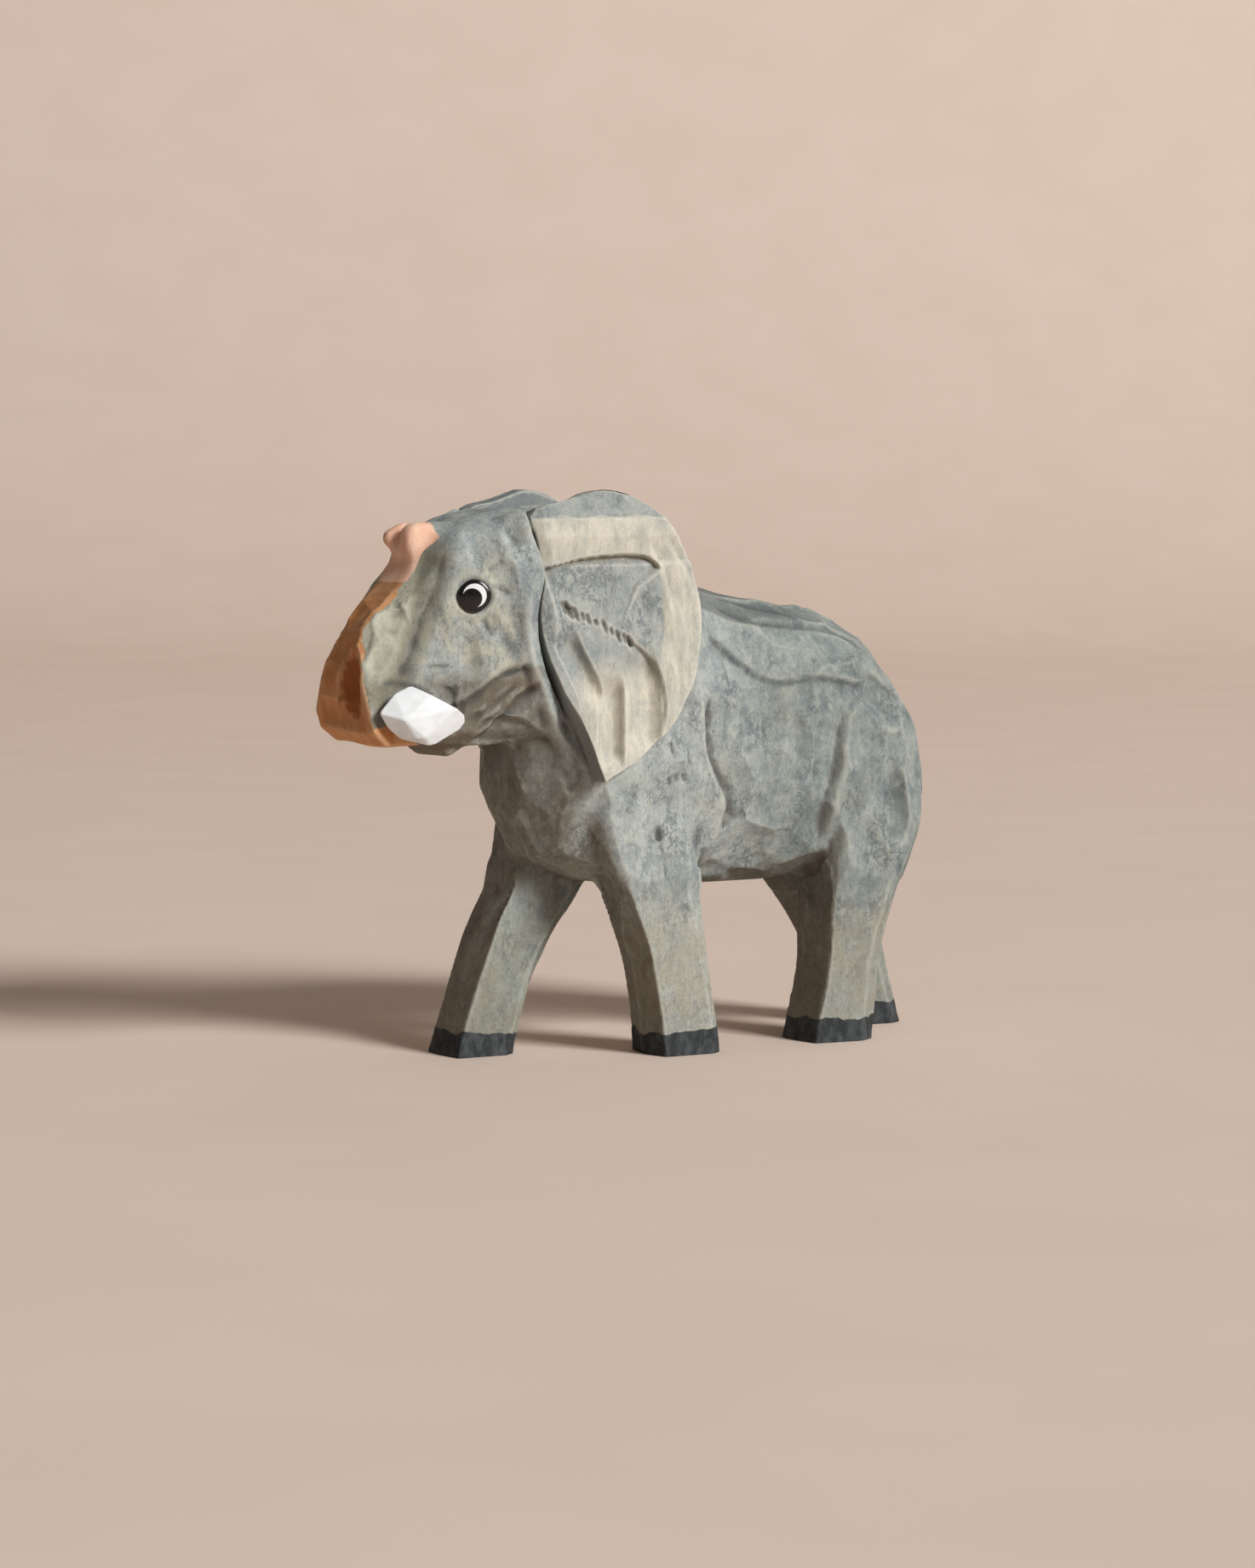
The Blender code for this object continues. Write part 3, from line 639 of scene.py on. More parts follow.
def calm_places(surface):
    """0 where the knife facets are left out, so that a fine shape stays clear of them, otherwise 1."""
    forward, up = surface.forward, surface.up
    groove_gap = trace(EAR_GROOVE, forward, up)[0]
    eye_gap = np.hypot(forward - EYE_AT[1], up - EYE_AT[2])
    lip = rise(forward, 31.0, 33.0) * rise(57.0 - up, 0.0, 2.0)
    trunk_end = rise(forward, 40.0, 43.0) * rise(66.0 - up, 0.0, 3.0)
    tip = rise(forward, 35.0, 37.0) * rise(up, 76.0, 79.0)
    calm = 1.0 - rise(surface.hollowness(20), 0.25, 0.6)
    calm *= 1.0 - np.maximum(np.maximum(lip, trunk_end), tip)
    calm *= rise(groove_gap, 1.8, 3.6) * rise(eye_gap, EYE_RADIUS + 0.4, EYE_RADIUS + 1.6)
    return calm * rise(up, 0.4, 1.6)


def make_body(material):
    surface = dense_copy("carved_body", BODY_VOXEL, 5, KNOBS, BLOCKS)
    rng = np.random.default_rng(11)
    length, width, inset = facet_plan(surface)
    square_legs(surface, rng)
    surface.push(0.3 * lumps(surface.co, 18.0, rng) * rise(surface.up, 30.0, 40.0))
    calm = calm_places(surface)
    surface.push(calm * whittle(surface, stroke_field(surface), length, width, inset, rng))
    carve_sides(surface)
    carve_trunk(surface)
    surface.co = 0.7 * surface.co + 0.3 * surface.spread(surface.co, 1)
    surface.co[:, 2] = np.maximum(surface.co[:, 2], 0.0)
    surface.update()
    paint_body(surface, rng)
    finish_piece(surface, material, "carved_body")


# ---------------- ears

# Lines of the ear's outer face: (forward, up) from its middle
STEP = ((12.2, 10.0), (8.6, 10.8), (5.9, 11.4), (0.5, 12.0), (-4.7, 12.0), (-7.0, 11.4), (-8.4, 9.4))
LOBE_REAR = ((-7.6, 11.0), (-9.0, 7.2), (-8.5, 4.6), (-8.7, 1.1), (-8.6, -1.6), (-7.6, -4.1))
FOLD_REAR = ((-1.2, -1.2), (-4.3, -3.6), (-6.2, -5.2), (-7.5, -7.6), (-8.1, -11.0), (-8.0, -14.0),
             (-7.2, -17.6))
LOBE_EDGE = STEP[:-1] + LOBE_REAR[1:] + FOLD_REAR[3:]
FACET_TOP = 18.2
BAND_DIVIDE = 15.2
# Gouged flutes: centre line from the top down, half width, depth
FLUTES = (
    (((9.6, 0.4), (8.2, -3.4), (6.2, -7.2), (4.6, -10.8), (4.4, -13.6)), 2.3, 1.5),
    (((1.4, -6.8), (1.4, -12.0), (1.7, -17.0), (2.0, -23.4)), 2.4, 1.8),
    (((-3.2, -3.4), (-4.6, -8.6), (-4.7, -13.6), (-3.6, -20.8)), 3.2, 1.7),
)
FLUTE_LEAN = 0.4        # how far behind its middle a flute is deepest, in half widths
NICK_ROW = ((8.7, 3.7), (4.2, 1.9), (-2.4, -2.0))
NICK_COUNT = 14
RIM_CUTS = (((-11.4, 5.5), (-13.4, -1.2), (-12.6, -6.0)), ((-9.6, 15.4), (-13.6, 9.6), (-14.6, 5.0)),
            ((-6.4, 14.8), (-9.6, 9.8), (-10.6, 2.0)), ((-10.2, -4.0), (-11.4, -9.0), (-10.4, -14.0)))
EAR_SHELVES = (
    (STEP, 1.0, 6.0, 1.3, 0.05, 0.25, 0.45),
    (LOBE_REAR, 1.0, 5.0, 0.45, 0.3, 1.4, 0.0),
    (FOLD_REAR, 1.0, 3.0, 0.7, 0.2, 0.4, 0.25),
    *((cut, -1.0, 2.4, 0.4, 0.2, 0.8, 0.0) for cut in RIM_CUTS),
)


def ear_axes(side):
    """Forward, up and outward directions of an ear's plate."""
    face = Vector((math.cos(EAR_YAW) * side, -math.sin(EAR_YAW), math.tan(EAR_LEAN))).normalized()
    along = Vector((0.0, -1.0, 0.0))
    along = (along - face * along.dot(face)).normalized()
    up = along.cross(face) * side
    return np.array(along), np.array(up), np.array(face)


def nicks(rng):
    """Short cuts across a drawn row, a little uneven."""
    row = rounded(NICK_ROW)
    for place in np.linspace(0.0, len(row) - 1.0, NICK_COUNT):
        at = np.array([np.interp(place, range(len(row)), row[:, k]) for k in (0, 1)])
        at = at + rng.uniform(-0.25, 0.25, 2)
        half = np.array([-0.5, -1.35]) * rng.uniform(0.5, 1.2)
        yield at - half, at + half


def ear_relief(u, v, rng):
    """Height of the outer face over its plane, and the pigment in its cuts."""
    height, pigment = carve_lines(u, v, EAR_SHELVES, ((nicks(rng), 0.45, 0.6, 0.3, 0.8, 1.0),))
    top = FACET_TOP + 0.25 * np.sin(0.9 * u)
    height -= 0.55 * np.clip(v - top, 0.0, 4.0) * rise(v, top - 0.1, top + 0.3)
    height -= 0.16 * np.clip(BAND_DIVIDE - v, 0.0, 4.0) * rise(v, 10.4, 11.6)
    height -= 0.10 * np.clip(v - BAND_DIVIDE, 0.0, 3.2)
    for flute, width, depth in FLUTES:
        gap, side, place = trace(flute, u, v)
        across = -gap * side / width - FLUTE_LEAN
        wall = np.where(across > 0.0, across / (1.0 - FLUTE_LEAN), across / (1.0 + FLUTE_LEAN))
        height -= depth * np.clip(1.0 - wall ** 2, 0.0, 1.0) * ends_fade(place, 0.25)
    height += scoop(u, v, (-5.0, 3.0), (2.2, 3.4), 20.0, 0.5)
    height += scoop(u, v, (3.0, 7.0), (6.0, 2.6), -4.0, 0.3)
    return height, pigment


def carve_ear(surface, side, rng):
    along, up, face = ear_axes(side)
    middle = np.array([EAR_FACE_AT[0] * side, DATUM_Y - EAR_FACE_AT[1], EAR_FACE_AT[2]])
    u, v, w = ((surface.co - middle) @ axis for axis in (along, up, face))
    relief, crease = ear_relief(u, v, rng)
    levels = np.arange(-24.0, 24.0, 1.0)
    front = np.array([u[np.abs(v - level) < 1.0].max(initial=-20.0) for level in levels])
    relief -= 1.0 * rise(u - np.interp(v, levels, front), -2.4, 0.2) * rise(v, -8.0, 2.0)
    outer = rise(w, -2.6, -0.6)
    stroke = np.tile(up, (surface.count, 1))
    flat = np.ones(surface.count)
    cuts = whittle(surface, stroke, 7.0 * flat, 2.2 * flat, 0.2 * flat, rng, 0.12)
    surface.push(cuts * (1.0 - 0.4 * outer))
    surface.co += face[None, :] * (relief * outer)[:, None]
    surface.update()
    u, v = ((surface.co - middle) @ axis for axis in (along, up))
    paint_ear(surface, u, v, rise(surface.normal @ face, 0.1, 0.5), crease)


def paint_ear(surface, u, v, outer, crease):
    """Masks for the grey lobe, the cream band, rim and lower end, the dark cuts, and painted shade in
    hollows.
    """
    near = surface.hollowness(5)
    wide = surface.hollowness(30)
    surface.mark("crease", crease * outer)
    # pigment and painted shade in small hollows, painted shade in broad ones
    surface.mark("crease", 0.35 * rise(near, 0.03, 0.14))
    surface.mark("shade", rise(wide, 0.05, 0.5))
    surface.mark("wear", rise(-near, 0.015, 0.08))
    surface.mark("back_face", 1.0 - outer)
    gap, edge_side, _ = trace(LOBE_EDGE, u, v)
    inside = rise(gap * edge_side, -0.3, 0.3)
    band = rise(v, 10.0, 11.6) * rise(FACET_TOP - v, -0.3, 0.2) * (1.0 - inside)
    low = rise(-v, 2.0, 11.0) * rise(-u - 0.35 * v, -6.0, -1.0)
    rim = (1.0 - inside) * rise(-u, 6.0, 8.5)
    rim *= 1.0 - 0.8 * rise(v, 13.0, 15.5) * rise(-u, 2.0, 5.0)
    surface.mark("cream", np.maximum(np.maximum(band, rim), low) * outer)


def make_ear(name, side, seed, material):
    surface = dense_copy(name, EAR_VOXEL, 2)
    carve_ear(surface, side, np.random.default_rng(seed))
    finish_piece(surface, material, name)


# ---------------- tusks, eyes, tail

# Corners of a tusk's knife facets: outward, forward, up
TUSK_CORNERS = (
    (10.9, 53.0, 58.5), (11.0, 50.3, 61.4), (11.0, 47.5, 62.6), (13.0, 45.0, 61.2), (14.2, 41.0, 59.0),
    (13.4, 39.3, 57.9), (12.8, 38.9, 56.7), (12.6, 39.7, 55.7), (12.6, 44.1, 53.5), (12.6, 45.2, 53.3),
    (13.1, 47.7, 54.6), (13.5, 49.8, 57.4), (13.7, 46.3, 54.6), (11.0, 49.3, 54.4), (10.6, 51.4, 56.2),
    (9.4, 51.6, 58.4), (9.4, 49.4, 61.0), (9.4, 46.4, 61.8), (9.4, 41.0, 58.6), (9.4, 39.8, 56.8),
    (9.4, 44.2, 54.2), (9.4, 49.0, 54.8),
)
TUSK_MIDDLE = (45.9, 58.0)      # forward, up
TUSK_SWELL = 1.04
EYE_DEPTH = 0.9
EYE_CROWN = 0.55
EYE_TURNS = 96
EYE_RINGS = 36
EYE_FACE = 0.94                 # share of the rings on the face, the rest run down its edge
CRESCENT_OUTER = (0.02, 0.05, 1.92)     # circle: back, up, radius
CRESCENT_INNER = (-0.42, -0.42, 1.62)


def make_tusk(name, side, material):
    """A stubby block of flat facets with slightly worn edges."""
    work = bmesh.new()
    for outward, forward, up in TUSK_CORNERS:
        forward = TUSK_MIDDLE[0] + TUSK_SWELL * (forward - TUSK_MIDDLE[0])
        up = TUSK_MIDDLE[1] + TUSK_SWELL * (up - TUSK_MIDDLE[1])
        work.verts.new(spot(outward * side, forward, up))
    bmesh.ops.convex_hull(work, input=work.verts)
    loose = [v for v in work.verts if not v.link_faces]
    bmesh.ops.delete(work, geom=loose, context="VERTS")
    bmesh.ops.recalc_face_normals(work, faces=work.faces)
    bmesh.ops.dissolve_limit(work, angle_limit=math.radians(4.0), verts=work.verts, edges=work.edges)
    piece = add_object("visual_" + name, bpy.data.meshes.new("visual_" + name))
    work.to_mesh(piece.data)
    work.free()
    bevel = piece.modifiers.new("worn_edges", "BEVEL")
    bevel.width = 0.22 * MM
    bevel.segments = 2
    bevel.angle_limit = math.radians(5.0)
    applied(piece)
    piece.data.materials.append(material)
    stand_in(piece, name)


def eye_dome(side):
    """Points of the bead in rings from its middle outwards, the share of white at each, and faces."""
    facing = np.array([math.cos(EYE_TURN) * side, -math.sin(EYE_TURN), 0.0])
    back = np.array([math.sin(EYE_TURN) * side, math.cos(EYE_TURN), 0.0])
    centre = np.array([EYE_AT[0] * side, DATUM_Y - EYE_AT[1], EYE_AT[2]])
    share = np.arange(EYE_RINGS + 1)[:, None] / EYE_RINGS
    turn = 2.0 * math.pi * np.arange(EYE_TURNS) / EYE_TURNS
    size = np.minimum(1.0, share / EYE_FACE)
    radius = EYE_RADIUS * size * (1.0 + 0.02 * np.cos(4.0 * turn))      # a little squarish
    lift = EYE_CROWN * np.sqrt(1.0 - 0.9 * size ** 2)
    lift = lift - EYE_DEPTH * np.maximum(share - EYE_FACE, 0.0) / (1.0 - EYE_FACE)
    a, b = radius * np.cos(turn), radius * np.sin(turn)
    points = centre + a[..., None] * back + lift[..., None] * facing
    points[..., 2] += b
    outer, inner = (np.hypot(a - x, b - y) / r for x, y, r in (CRESCENT_OUTER, CRESCENT_INNER))
    white = rise(1.0 - outer, -0.01, 0.03) * rise(inner - 1.0, -0.01, 0.03)
    corners = np.arange(a.size).reshape(a.shape)
    near, far = corners[:-1], corners[1:]
    faces = np.stack([near, np.roll(near, -1, 1), np.roll(far, -1, 1), far], -1)
    return points.reshape(-1, 3) * MM, white.ravel(), faces.reshape(-1, 4)[:, ::int(side)]


def make_eye(name, side, material):
    """A domed bead; the white crescent is a mask on its dense mesh."""
    points, white, faces = eye_dome(side)
    mesh = bpy.data.meshes.new("visual_" + name)
    mesh.from_pydata(points.tolist(), [], faces.tolist())
    mesh.attributes.new("crescent", "FLOAT", "POINT").data.foreach_set("value", white)
    work = bmesh.new()
    work.from_mesh(mesh)
    bmesh.ops.remove_doubles(work, verts=work.verts, dist=0.001 * MM)
    bmesh.ops.contextual_create(work, geom=[edge for edge in work.edges if edge.is_boundary])
    bmesh.ops.recalc_face_normals(work, faces=work.faces)
    work.to_mesh(mesh)
    work.free()
    mesh.shade_smooth()
    mesh.materials.append(material)
    stand_in(add_object(mesh.name, mesh), name)


def make_tail(material):
    surface = dense_copy("tail", TAIL_VOXEL, 2)
    rng = np.random.default_rng(41)
    flat = np.ones(surface.count)
    stroke = np.tile(np.array([0.0, 0.2, 1.0]), (surface.count, 1))
    surface.push(whittle(surface, stroke, 4.5 * flat, 1.2 * flat, 0.2 * flat, rng))
    tuft = rise(-surface.up, -38.0, -34.0)
    strands = np.sin(5.0 * np.arctan2(surface.normal[:, 1], surface.normal[:, 0]))
    surface.push(0.18 * strands * tuft)
    near = surface.hollowness(4)
    surface.mark("crease", rise(near, 0.01, 0.08))
    surface.mark("crease", 0.5 * tuft)
    surface.mark("wear", rise(-near, 0.01, 0.06))
    finish_piece(surface, material, "tail")


# ---------------- materials

class Graph:
    """A short way to write shader nodes."""

    def __init__(self, name):
        self.material = bpy.data.materials.new(name)
        self.material.use_nodes = True
        self.tree = self.material.node_tree
        self.shader = self.tree.nodes["Principled BSDF"]
        self.colour = None
        place = self.tree.nodes.new("ShaderNodeTexCoord").outputs["Object"]
        self.place = self.node("Mapping", {"Vector": place, "Scale": (1.0 / MM,) * 3})["Vector"]

    def set(self, socket, value):
        if isinstance(value, bpy.types.NodeSocket):
            self.tree.links.new(value, socket)
        elif socket.type == "RGBA":
            socket.default_value = (*value, 1.0)
        else:
            socket.default_value = value

    def node(self, kind, inputs, **settings):
        """Outputs of a new node; each input is a number, a colour or another node's output."""
        node = self.tree.nodes.new("ShaderNode" + kind)
        for name, value in settings.items():
            setattr(node, name, value)
        for name, value in inputs.items():
            self.set(node.inputs[name], value)
        return node.outputs

    def noise(self, scale, stretch=1.0, detail=4.0, roughness=0.55, distortion=0.0, offset=0.0):
        """Noise with features of about 1/scale mm, squeezed along the up axis by the stretch, or
        along all three axes if it is a tuple. Each offset gives a pattern of its own."""
        if not isinstance(stretch, tuple):
            stretch = (1.0, 1.0, stretch)
        place = self.node("Mapping", {
            "Vector": self.place, "Scale": stretch, "Location": (offset, offset * 0.7, offset * 1.3)})
        return self.node("TexNoise", {
            "Vector": place["Vector"], "Scale": scale, "Detail": detail, "Roughness": roughness,
            "Distortion": distortion})["Fac"]

    def math(self, kind, a, b=0.0):
        return self.node("Math", {0: a, 1: b}, operation=kind)["Value"]

    def times(self, a, b):
        return self.math("MULTIPLY", a, b)

    def band(self, value, low, high, to_low=0.0, to_high=1.0):
        """Smoothly map low..high to to_low..to_high."""
        return self.node("MapRange", {
            "Value": value, "From Min": low, "From Max": high, "To Min": to_low, "To Max": to_high,
        }, interpolation_type="SMOOTHSTEP")["Result"]

    def mask(self, name):
        return self.node("Attribute", {}, attribute_name=name)["Fac"]

    def mix(self, share, a, b, blend="MIX"):
        return self.node("Mix", {0: share, 6: a, 7: b}, data_type="RGBA", blend_type=blend)[2]

    def lay(self, share, paint, blend="MIX"):
        """Lay paint over the colour so far."""
        self.colour = self.mix(share, self.colour, paint, blend)

    def coat(self, name, share, paint):
        """Lay paint where the named mask is, as thick as the share."""
        self.lay(self.times(self.mask(name), share), paint)

    def bump(self, height, strength, distance):
        inputs = {"Height": height, "Strength": strength, "Distance": distance * MM}
        return self.node("Bump", inputs)["Normal"]

    def finish(self, roughness, normal, specular):
        inputs = {"Base Color": self.colour, "Roughness": roughness, "Specular IOR Level": specular}
        if normal is not None:
            inputs["Normal"] = normal
        for name, value in inputs.items():
            self.set(self.shader.inputs[name], value)
        return self.material


# The wash, from bare wood to pigment, and the colour of painted shade
BARE = (0.56, 0.55, 0.47)
PALE = (0.52, 0.54, 0.495)
GREY = (0.32, 0.36, 0.36)
BLUE = (0.185, 0.225, 0.24)
OLIVE = (0.385, 0.37, 0.285)
# painted shade in broad hollows, on the front and underneath
SHADE_BROWN = (0.125, 0.095, 0.06)
INK = (0.10, 0.118, 0.128)
# dark pigment in cuts, and painted shade in small hollows
PIGMENT_AND_SHADE = (0.085, 0.092, 0.092)
EAR_WASH = ((0.44, 0.445, 0.40), (0.32, 0.34, 0.325), (0.21, 0.25, 0.26), (0.42, 0.40, 0.31))
# Pairs are the two ends of a paint that varies over its area
EAR_CREAM = ((0.66, 0.61, 0.50), (0.50, 0.485, 0.415))
ORANGE = ((0.66, 0.34, 0.16), (0.56, 0.24, 0.09))
PINK = ((0.92, 0.60, 0.44), (0.84, 0.48, 0.33))
HOOF = ((0.028, 0.031, 0.033), (0.066, 0.073, 0.076))
TUSK_WHITE = ((0.80, 0.815, 0.82), (0.74, 0.75, 0.75))
EYE_BLACK = ((0.006, 0.006, 0.006), (0.012, 0.011, 0.010))
EYE_WHITE = (0.88, 0.88, 0.86)
DOWEL_WOOD = ((0.66, 0.48, 0.29), (0.52, 0.36, 0.20))
PAPER = ((0.80, 0.65, 0.55), (0.82, 0.67, 0.57))


def wash(g, pale, grey, blue, warm):
    """Thin grey-blue paint over pale wood: cloudy patches, mottled brushwork and wisps of pigment."""
    cloud = g.noise(0.10, 0.8, 8.0, 0.68, 0.5)
    patch = g.noise(0.50, 0.8, 10.0, 0.78, 0.4, 7.0)
    share = g.math("ADD", g.times(cloud, 0.5), g.times(patch, 0.5))
    g.colour = g.mix(g.band(share, 0.40, 0.60), pale, grey)
    stain = g.noise(0.12, 0.6, 8.0, 0.65, 0.3, 57.0)
    g.lay(g.band(stain, 0.50, 0.68, 0.0, 0.45), warm)
    blot = g.noise(0.17, 1.0, 10.0, 0.76, 0.6, 31.0)
    g.lay(g.band(blot, 0.47, 0.64, 0.0, 0.6), blue)
    wisp = g.noise(0.28, 0.7, 10.0, 0.78, 0.3, 71.0)
    line = g.math("SUBTRACT", 1.0, g.math("ABSOLUTE", g.times(g.math("SUBTRACT", wisp, 0.5), 22.0)))
    where = g.band(g.noise(0.14, 1.0, 5.0, 0.6, 0.0, 83.0), 0.46, 0.64, 0.1, 0.85)
    g.lay(g.times(g.band(line, 0.0, 1.0), where), INK)
    mottle = g.noise(0.9, 0.7, 10.0, 0.80, 0.0, 101.0)
    g.lay(g.band(mottle, 0.50, 0.64, 0.0, 0.4), blue)
    g.lay(g.band(mottle, 0.48, 0.36, 0.0, 0.55), pale)


def grain(g, pore=0.7):
    """Growth lines and pores of the wood, running upright, and specks of paint caught in them."""
    line = g.noise(1.1, 0.14, 8.0, 0.7, 0.8, 3.0)
    g.lay(g.band(line, 0.44, 0.66, 0.0, 0.3), (0.62, 0.63, 0.61), "MULTIPLY")
    pores = g.noise(2.6, 0.6, 8.0, 0.8, 0.0, 11.0)
    where = g.noise(0.22, 1.0, 6.0, 0.7, 0.0, 13.0)
    speck = g.times(g.band(pores, 0.52, 0.63), g.band(where, 0.42, 0.60, 0.2, pore))
    g.lay(speck, INK)
    pale = g.times(g.band(pores, 0.46, 0.34), g.band(where, 0.56, 0.42, 0.05, 0.5))
    g.lay(pale, BARE)
    return g.math("ADD", g.times(line, 0.5), g.times(pores, -0.5))


def ragged(g, name, noise, amount, soft=0.12):
    """Share of paint inside an edge that wobbles by the noise; the attribute holds the distance."""
    wobble = g.times(g.math("SUBTRACT", noise, 0.5), amount)
    return g.band(g.math("ADD", g.mask(name), wobble), -soft, soft)


def block_wash(g):
    """The wash over the block, cream on the cheeks, tan on the legs, pigment in cuts, and painted shade in
    hollows, on the front and underneath, with a painted highlight on ridges.
    """
    wash(g, PALE, GREY, BLUE, OLIVE)
    g.coat("strip", 0.7, (0.45, 0.425, 0.285))
    tint = g.noise(0.3, 0.8, 8.0, 0.74, 0.4, 91.0)
    g.coat("cheek", g.band(tint, 0.42, 0.56, 0.9, 0.12), (0.53, 0.515, 0.41))
    # painted shade in the trunk groove
    g.coat("trunk_groove_shade", 0.75, (0.215, 0.20, 0.14))
    g.coat("leg", g.band(tint, 0.36, 0.6, 0.75, 0.3), (0.38, 0.34, 0.25))
    g.coat("back", 0.75, (0.185, 0.195, 0.185))
    # duller rear, and painted shade on the inner sides of the legs
    g.lay(g.mask("dull_rear_and_inner_leg_shade"), (0.70, 0.72, 0.71), "MULTIPLY")
    g.coat("jaw", 0.8, (0.25, 0.215, 0.175))
    height = grain(g)
    smudge = g.noise(0.7, 0.8, 6.0, 0.65, 0.3, 19.0)
    # painted shade in hollows and on the front and underneath, a painted highlight on facet ridges, pigment
    # and painted shade in cuts
    g.coat("facet_hollow_shade", g.band(smudge, 0.35, 0.6, 0.15, 0.65), (0.13, 0.15, 0.155))
    g.coat("ridge", g.band(smudge, 0.35, 0.6, 0.32, 0.05), BARE)
    g.coat("shade", g.band(smudge, 0.3, 0.6, 0.35, 0.75), SHADE_BROWN)
    g.coat("front_and_under_shade", g.band(smudge, 0.3, 0.6, 0.9, 0.6), SHADE_BROWN)
    g.coat("crease", g.band(smudge, 0.3, 0.62, 0.25, 0.95), PIGMENT_AND_SHADE)
    g.coat("wear", g.band(smudge, 0.35, 0.65, 0.0, 0.38), BARE)
    g.coat("knot", 0.9, (0.062, 0.060, 0.055))
    return height


def trunk_and_hoof_paint(g):
    """Opaque paint with ragged edges: the trunk's orange underside, its pink tip and the hooves."""
    tone = g.band(g.noise(0.25, 0.4, 5.0, 0.6, 0.3, 23.0), 0.35, 0.65)
    edge = g.noise(0.6, 1.0, 5.0, 0.6, 0.0, 37.0)
    under = g.colour
    g.colour = g.mix(tone, *ORANGE)
    g.coat("wear", 0.4, (0.80, 0.52, 0.32))
    g.coat("shade", 0.6, (0.40, 0.13, 0.035))
    # painted shadow cast by the near rim into the hollow
    g.coat("rim_cast_shadow", 0.9, (0.34, 0.10, 0.025))
    # painted highlight along the lit near rim
    rim = g.times(ragged(g, "orange_gap", edge, 1.6), g.band(g.mask("orange_gap"), 1.5, 0.6))
    g.coat("rim", rim, (0.84, 0.52, 0.30))
    g.colour = g.mix(ragged(g, "orange_gap", edge, 1.4), under, g.colour)
    g.lay(ragged(g, "pink_gap", edge, 0.5), g.mix(tone, *PINK))
    brush = g.noise(0.7, 0.5, 5.0, 0.65, 0.2, 29.0)
    g.lay(ragged(g, "hoof_gap", edge, 0.6, 0.1), g.mix(g.band(brush, 0.4, 0.65), *HOOF))


def body_material():
    g = Graph("visual_body_wash")
    height = block_wash(g)
    trunk_and_hoof_paint(g)
    fuzz = g.noise(2.2, 1.0, 6.0, 0.7, 0.0, 43.0)
    total = g.math("ADD", height, g.times(fuzz, 0.8))
    return g.finish(g.band(fuzz, 0.3, 0.7, 0.66, 0.86), g.bump(total, 0.6, 0.25), 0.25)


def ear_material():
    g = Graph("visual_ear_wash")
    wash(g, *EAR_WASH)
    g.coat("back_face", 0.8, (0.22, 0.235, 0.23))
    tone = g.noise(0.3, 0.4, 8.0, 0.7, 0.3, 5.0)
    cream = g.mix(g.band(tone, 0.40, 0.62), *EAR_CREAM)
    thin = g.noise(0.16, 0.7, 8.0, 0.7, 0.5, 65.0)
    g.coat("cream", g.band(thin, 0.54, 0.68, 0.97, 0.45), cream)
    height = grain(g, 0.35)
    smudge = g.noise(0.7, 0.8, 5.0, 0.65, 0.3, 19.0)
    # painted shade in hollows, pigment and painted shade in cuts
    g.coat("shade", g.band(smudge, 0.3, 0.6, 0.3, 0.6), (0.36, 0.31, 0.22))
    g.coat("crease", g.band(smudge, 0.25, 0.6, 0.3, 0.9), (0.10, 0.09, 0.075))
    g.coat("wear", 0.35, (0.74, 0.70, 0.60))
    fuzz = g.noise(2.2, 1.0, 6.0, 0.7, 0.0, 43.0)
    total = g.math("ADD", height, g.times(fuzz, 0.6))
    return g.finish(g.band(fuzz, 0.3, 0.7, 0.62, 0.82), g.bump(total, 0.5, 0.22), 0.25)


def tail_material():
    g = Graph("visual_tail_wash")
    wash(g, PALE, GREY, BLUE, OLIVE)
    height = grain(g)
    g.coat("crease", 0.8, PIGMENT_AND_SHADE)
    g.coat("wear", 0.4, BARE)
    return g.finish(0.75, g.bump(height, 0.5, 0.2), 0.3)


def tusk_material():
    g = Graph("visual_tusk_paint")
    g.colour = g.mix(g.band(g.noise(0.5, 1.0, 3.0, 0.5), 0.3, 0.7), *TUSK_WHITE)
    brush = g.noise(1.6, (1.0, 0.25, 1.0), 4.0, 0.6, 0.0, 5.0)
    return g.finish(g.band(brush, 0.3, 0.7, 0.42, 0.6), g.bump(brush, 0.25, 0.15), 0.4)


def eye_material():
    g = Graph("visual_eye_gloss")
    speck = g.noise(3.0, 1.0, 3.0, 0.5)
    g.colour = g.mix(g.band(speck, 0.4, 0.7), *EYE_BLACK)
    g.lay(g.mask("crescent"), EYE_WHITE)
    return g.finish(g.band(speck, 0.3, 0.7, 0.16, 0.26), g.bump(speck, 0.1, 0.05), 0.5)


def dowel_material():
    g = Graph("visual_dowel_wood")
    tone = g.noise(0.8, (0.2, 1.0, 1.0), 4.0, 0.6)
    g.colour = g.mix(g.band(tone, 0.35, 0.65), *DOWEL_WOOD)
    return g.finish(0.7, g.bump(tone, 0.3, 0.1), 0.3)


def floor_material():
    g = Graph("visual_floor_paper")
    tone = g.noise(0.02, 1.0, 2.0, 0.5)
    g.colour = g.mix(g.band(tone, 0.3, 0.7), *PAPER)
    return g.finish(0.95, None, 0.1)


# ---------------- studio

CAMERA_TARGET = Vector((0.0, DATUM_Y, 44.5)) * MM
CAMERA_TURN = math.radians(58.0)
CAMERA_HEIGHT = math.radians(4.2)
CAMERA_DISTANCE = 0.700
CAMERA_LENS = 95.77
SENSOR_HEIGHT = 36.0


def towards(turn, height):
    """Direction with azimuth 0 at the front and elevation above the floor."""
    return Vector((math.sin(turn) * math.cos(height), -math.cos(turn) * math.cos(height), math.sin(height)))


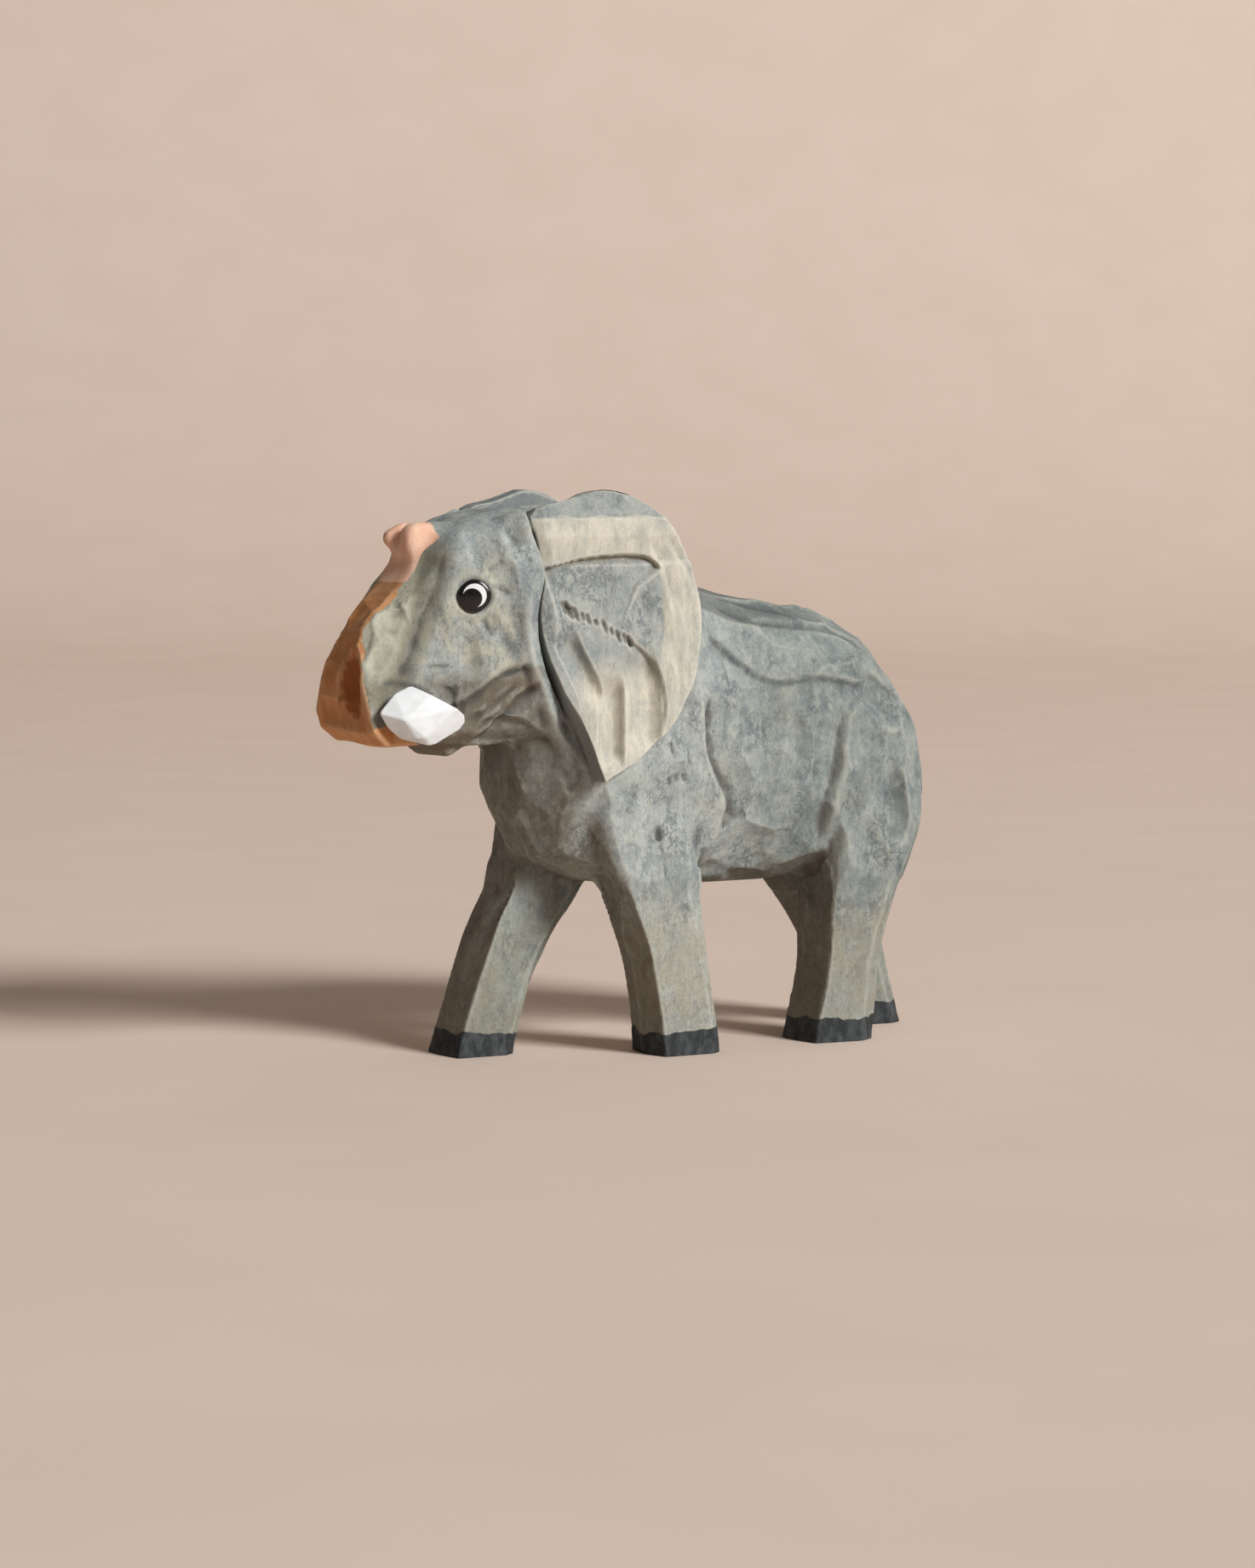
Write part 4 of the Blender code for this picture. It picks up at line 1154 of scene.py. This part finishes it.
def add_camera():
    camera = add_object("camera", bpy.data.cameras.new("camera"))
    back = towards(CAMERA_TURN, CAMERA_HEIGHT)
    camera.location = CAMERA_TARGET + back * CAMERA_DISTANCE
    camera.rotation_euler = (-back).to_track_quat("-Z", "Y").to_euler()
    camera.data.sensor_fit = "VERTICAL"
    camera.data.sensor_height = SENSOR_HEIGHT
    camera.data.lens = CAMERA_LENS
    camera.data.clip_start = 0.01
    camera.data.dof.use_dof = False
    bpy.context.scene.camera = camera


def add_floor(material):
    """A sheet that runs under the figure and curves up behind it."""
    back = -towards(CAMERA_TURN, 0.0)
    across = Vector((math.cos(CAMERA_TURN), math.sin(CAMERA_TURN), 0.0))
    near, bend_at, bend_radius, wall_height, half_width = -1.6, 1.5, 0.9, 3.0, 3.5
    profile = [(near, 0.0), (bend_at * 0.3, 0.0), (bend_at * 0.7, 0.0)]
    steps = 24
    for i in range(steps + 1):
        turn = 0.5 * math.pi * i / steps
        profile.append((bend_at + bend_radius * math.sin(turn), bend_radius * (1.0 - math.cos(turn))))
    profile.append((bend_at + bend_radius, wall_height))
    points = [back * along + across * side + Vector((0.0, 0.0, height))
              for along, height in profile for side in (-half_width, half_width)]
    faces = [(2 * i, 2 * i + 1, 2 * i + 3, 2 * i + 2) for i in range(len(profile) - 1)]
    mesh = bpy.data.meshes.new("paper_sweep")
    mesh.from_pydata(points, [], faces)
    mesh.shade_smooth()
    mesh.materials.append(material)
    add_object("paper_sweep", mesh)


def add_light(name, turn, height, distance, size, power, colour):
    """A square light aimed at the figure, placed by its turn from the front and height in degrees."""
    data = bpy.data.lights.new(name, "AREA")
    data.size = size
    data.energy = power
    data.color = colour
    light = add_object(name, data)
    aim = towards(math.radians(turn), math.radians(height))
    light.location = CAMERA_TARGET + aim * distance
    light.rotation_euler = (-aim).to_track_quat("-Z", "Y").to_euler()


def add_world(colour, strength):
    world = bpy.data.worlds.new("studio")
    world.use_nodes = True
    background = world.node_tree.nodes["Background"]
    background.inputs["Color"].default_value = (*colour, 1.0)
    background.inputs["Strength"].default_value = strength
    bpy.context.scene.world = world


def set_studio():
    add_camera()
    add_floor(floor_material())
    add_light("window", turn=107.0, height=29.0, distance=8.0, size=2.3, power=690.0,
              colour=(0.975, 0.99, 1.0))
    add_light("ceiling", turn=95.0, height=80.0, distance=2.4, size=2.2, power=4.0,
              colour=(1.0, 0.98, 0.95))
    add_world((1.0, 0.95, 0.90), 0.07)
    bpy.context.scene.view_settings.view_transform = "Standard"


# ---------------- assembly

set_studio()
make_body(body_material())
ears = ear_material()
tusks = tusk_material()
eyes = eye_material()
dowels = dowel_material()
for word, sign in SIDES.items():
    make_ear(word + "_ear", sign, EAR_SEEDS[word], ears)
    make_tusk(word + "_tusk", sign, tusks)
    make_eye(word + "_eye", sign, eyes)
    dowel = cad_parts[word + "_ear_dowel"]
    dowel.data.materials.clear()
    dowel.data.materials.append(dowels)
make_tail(tail_material())
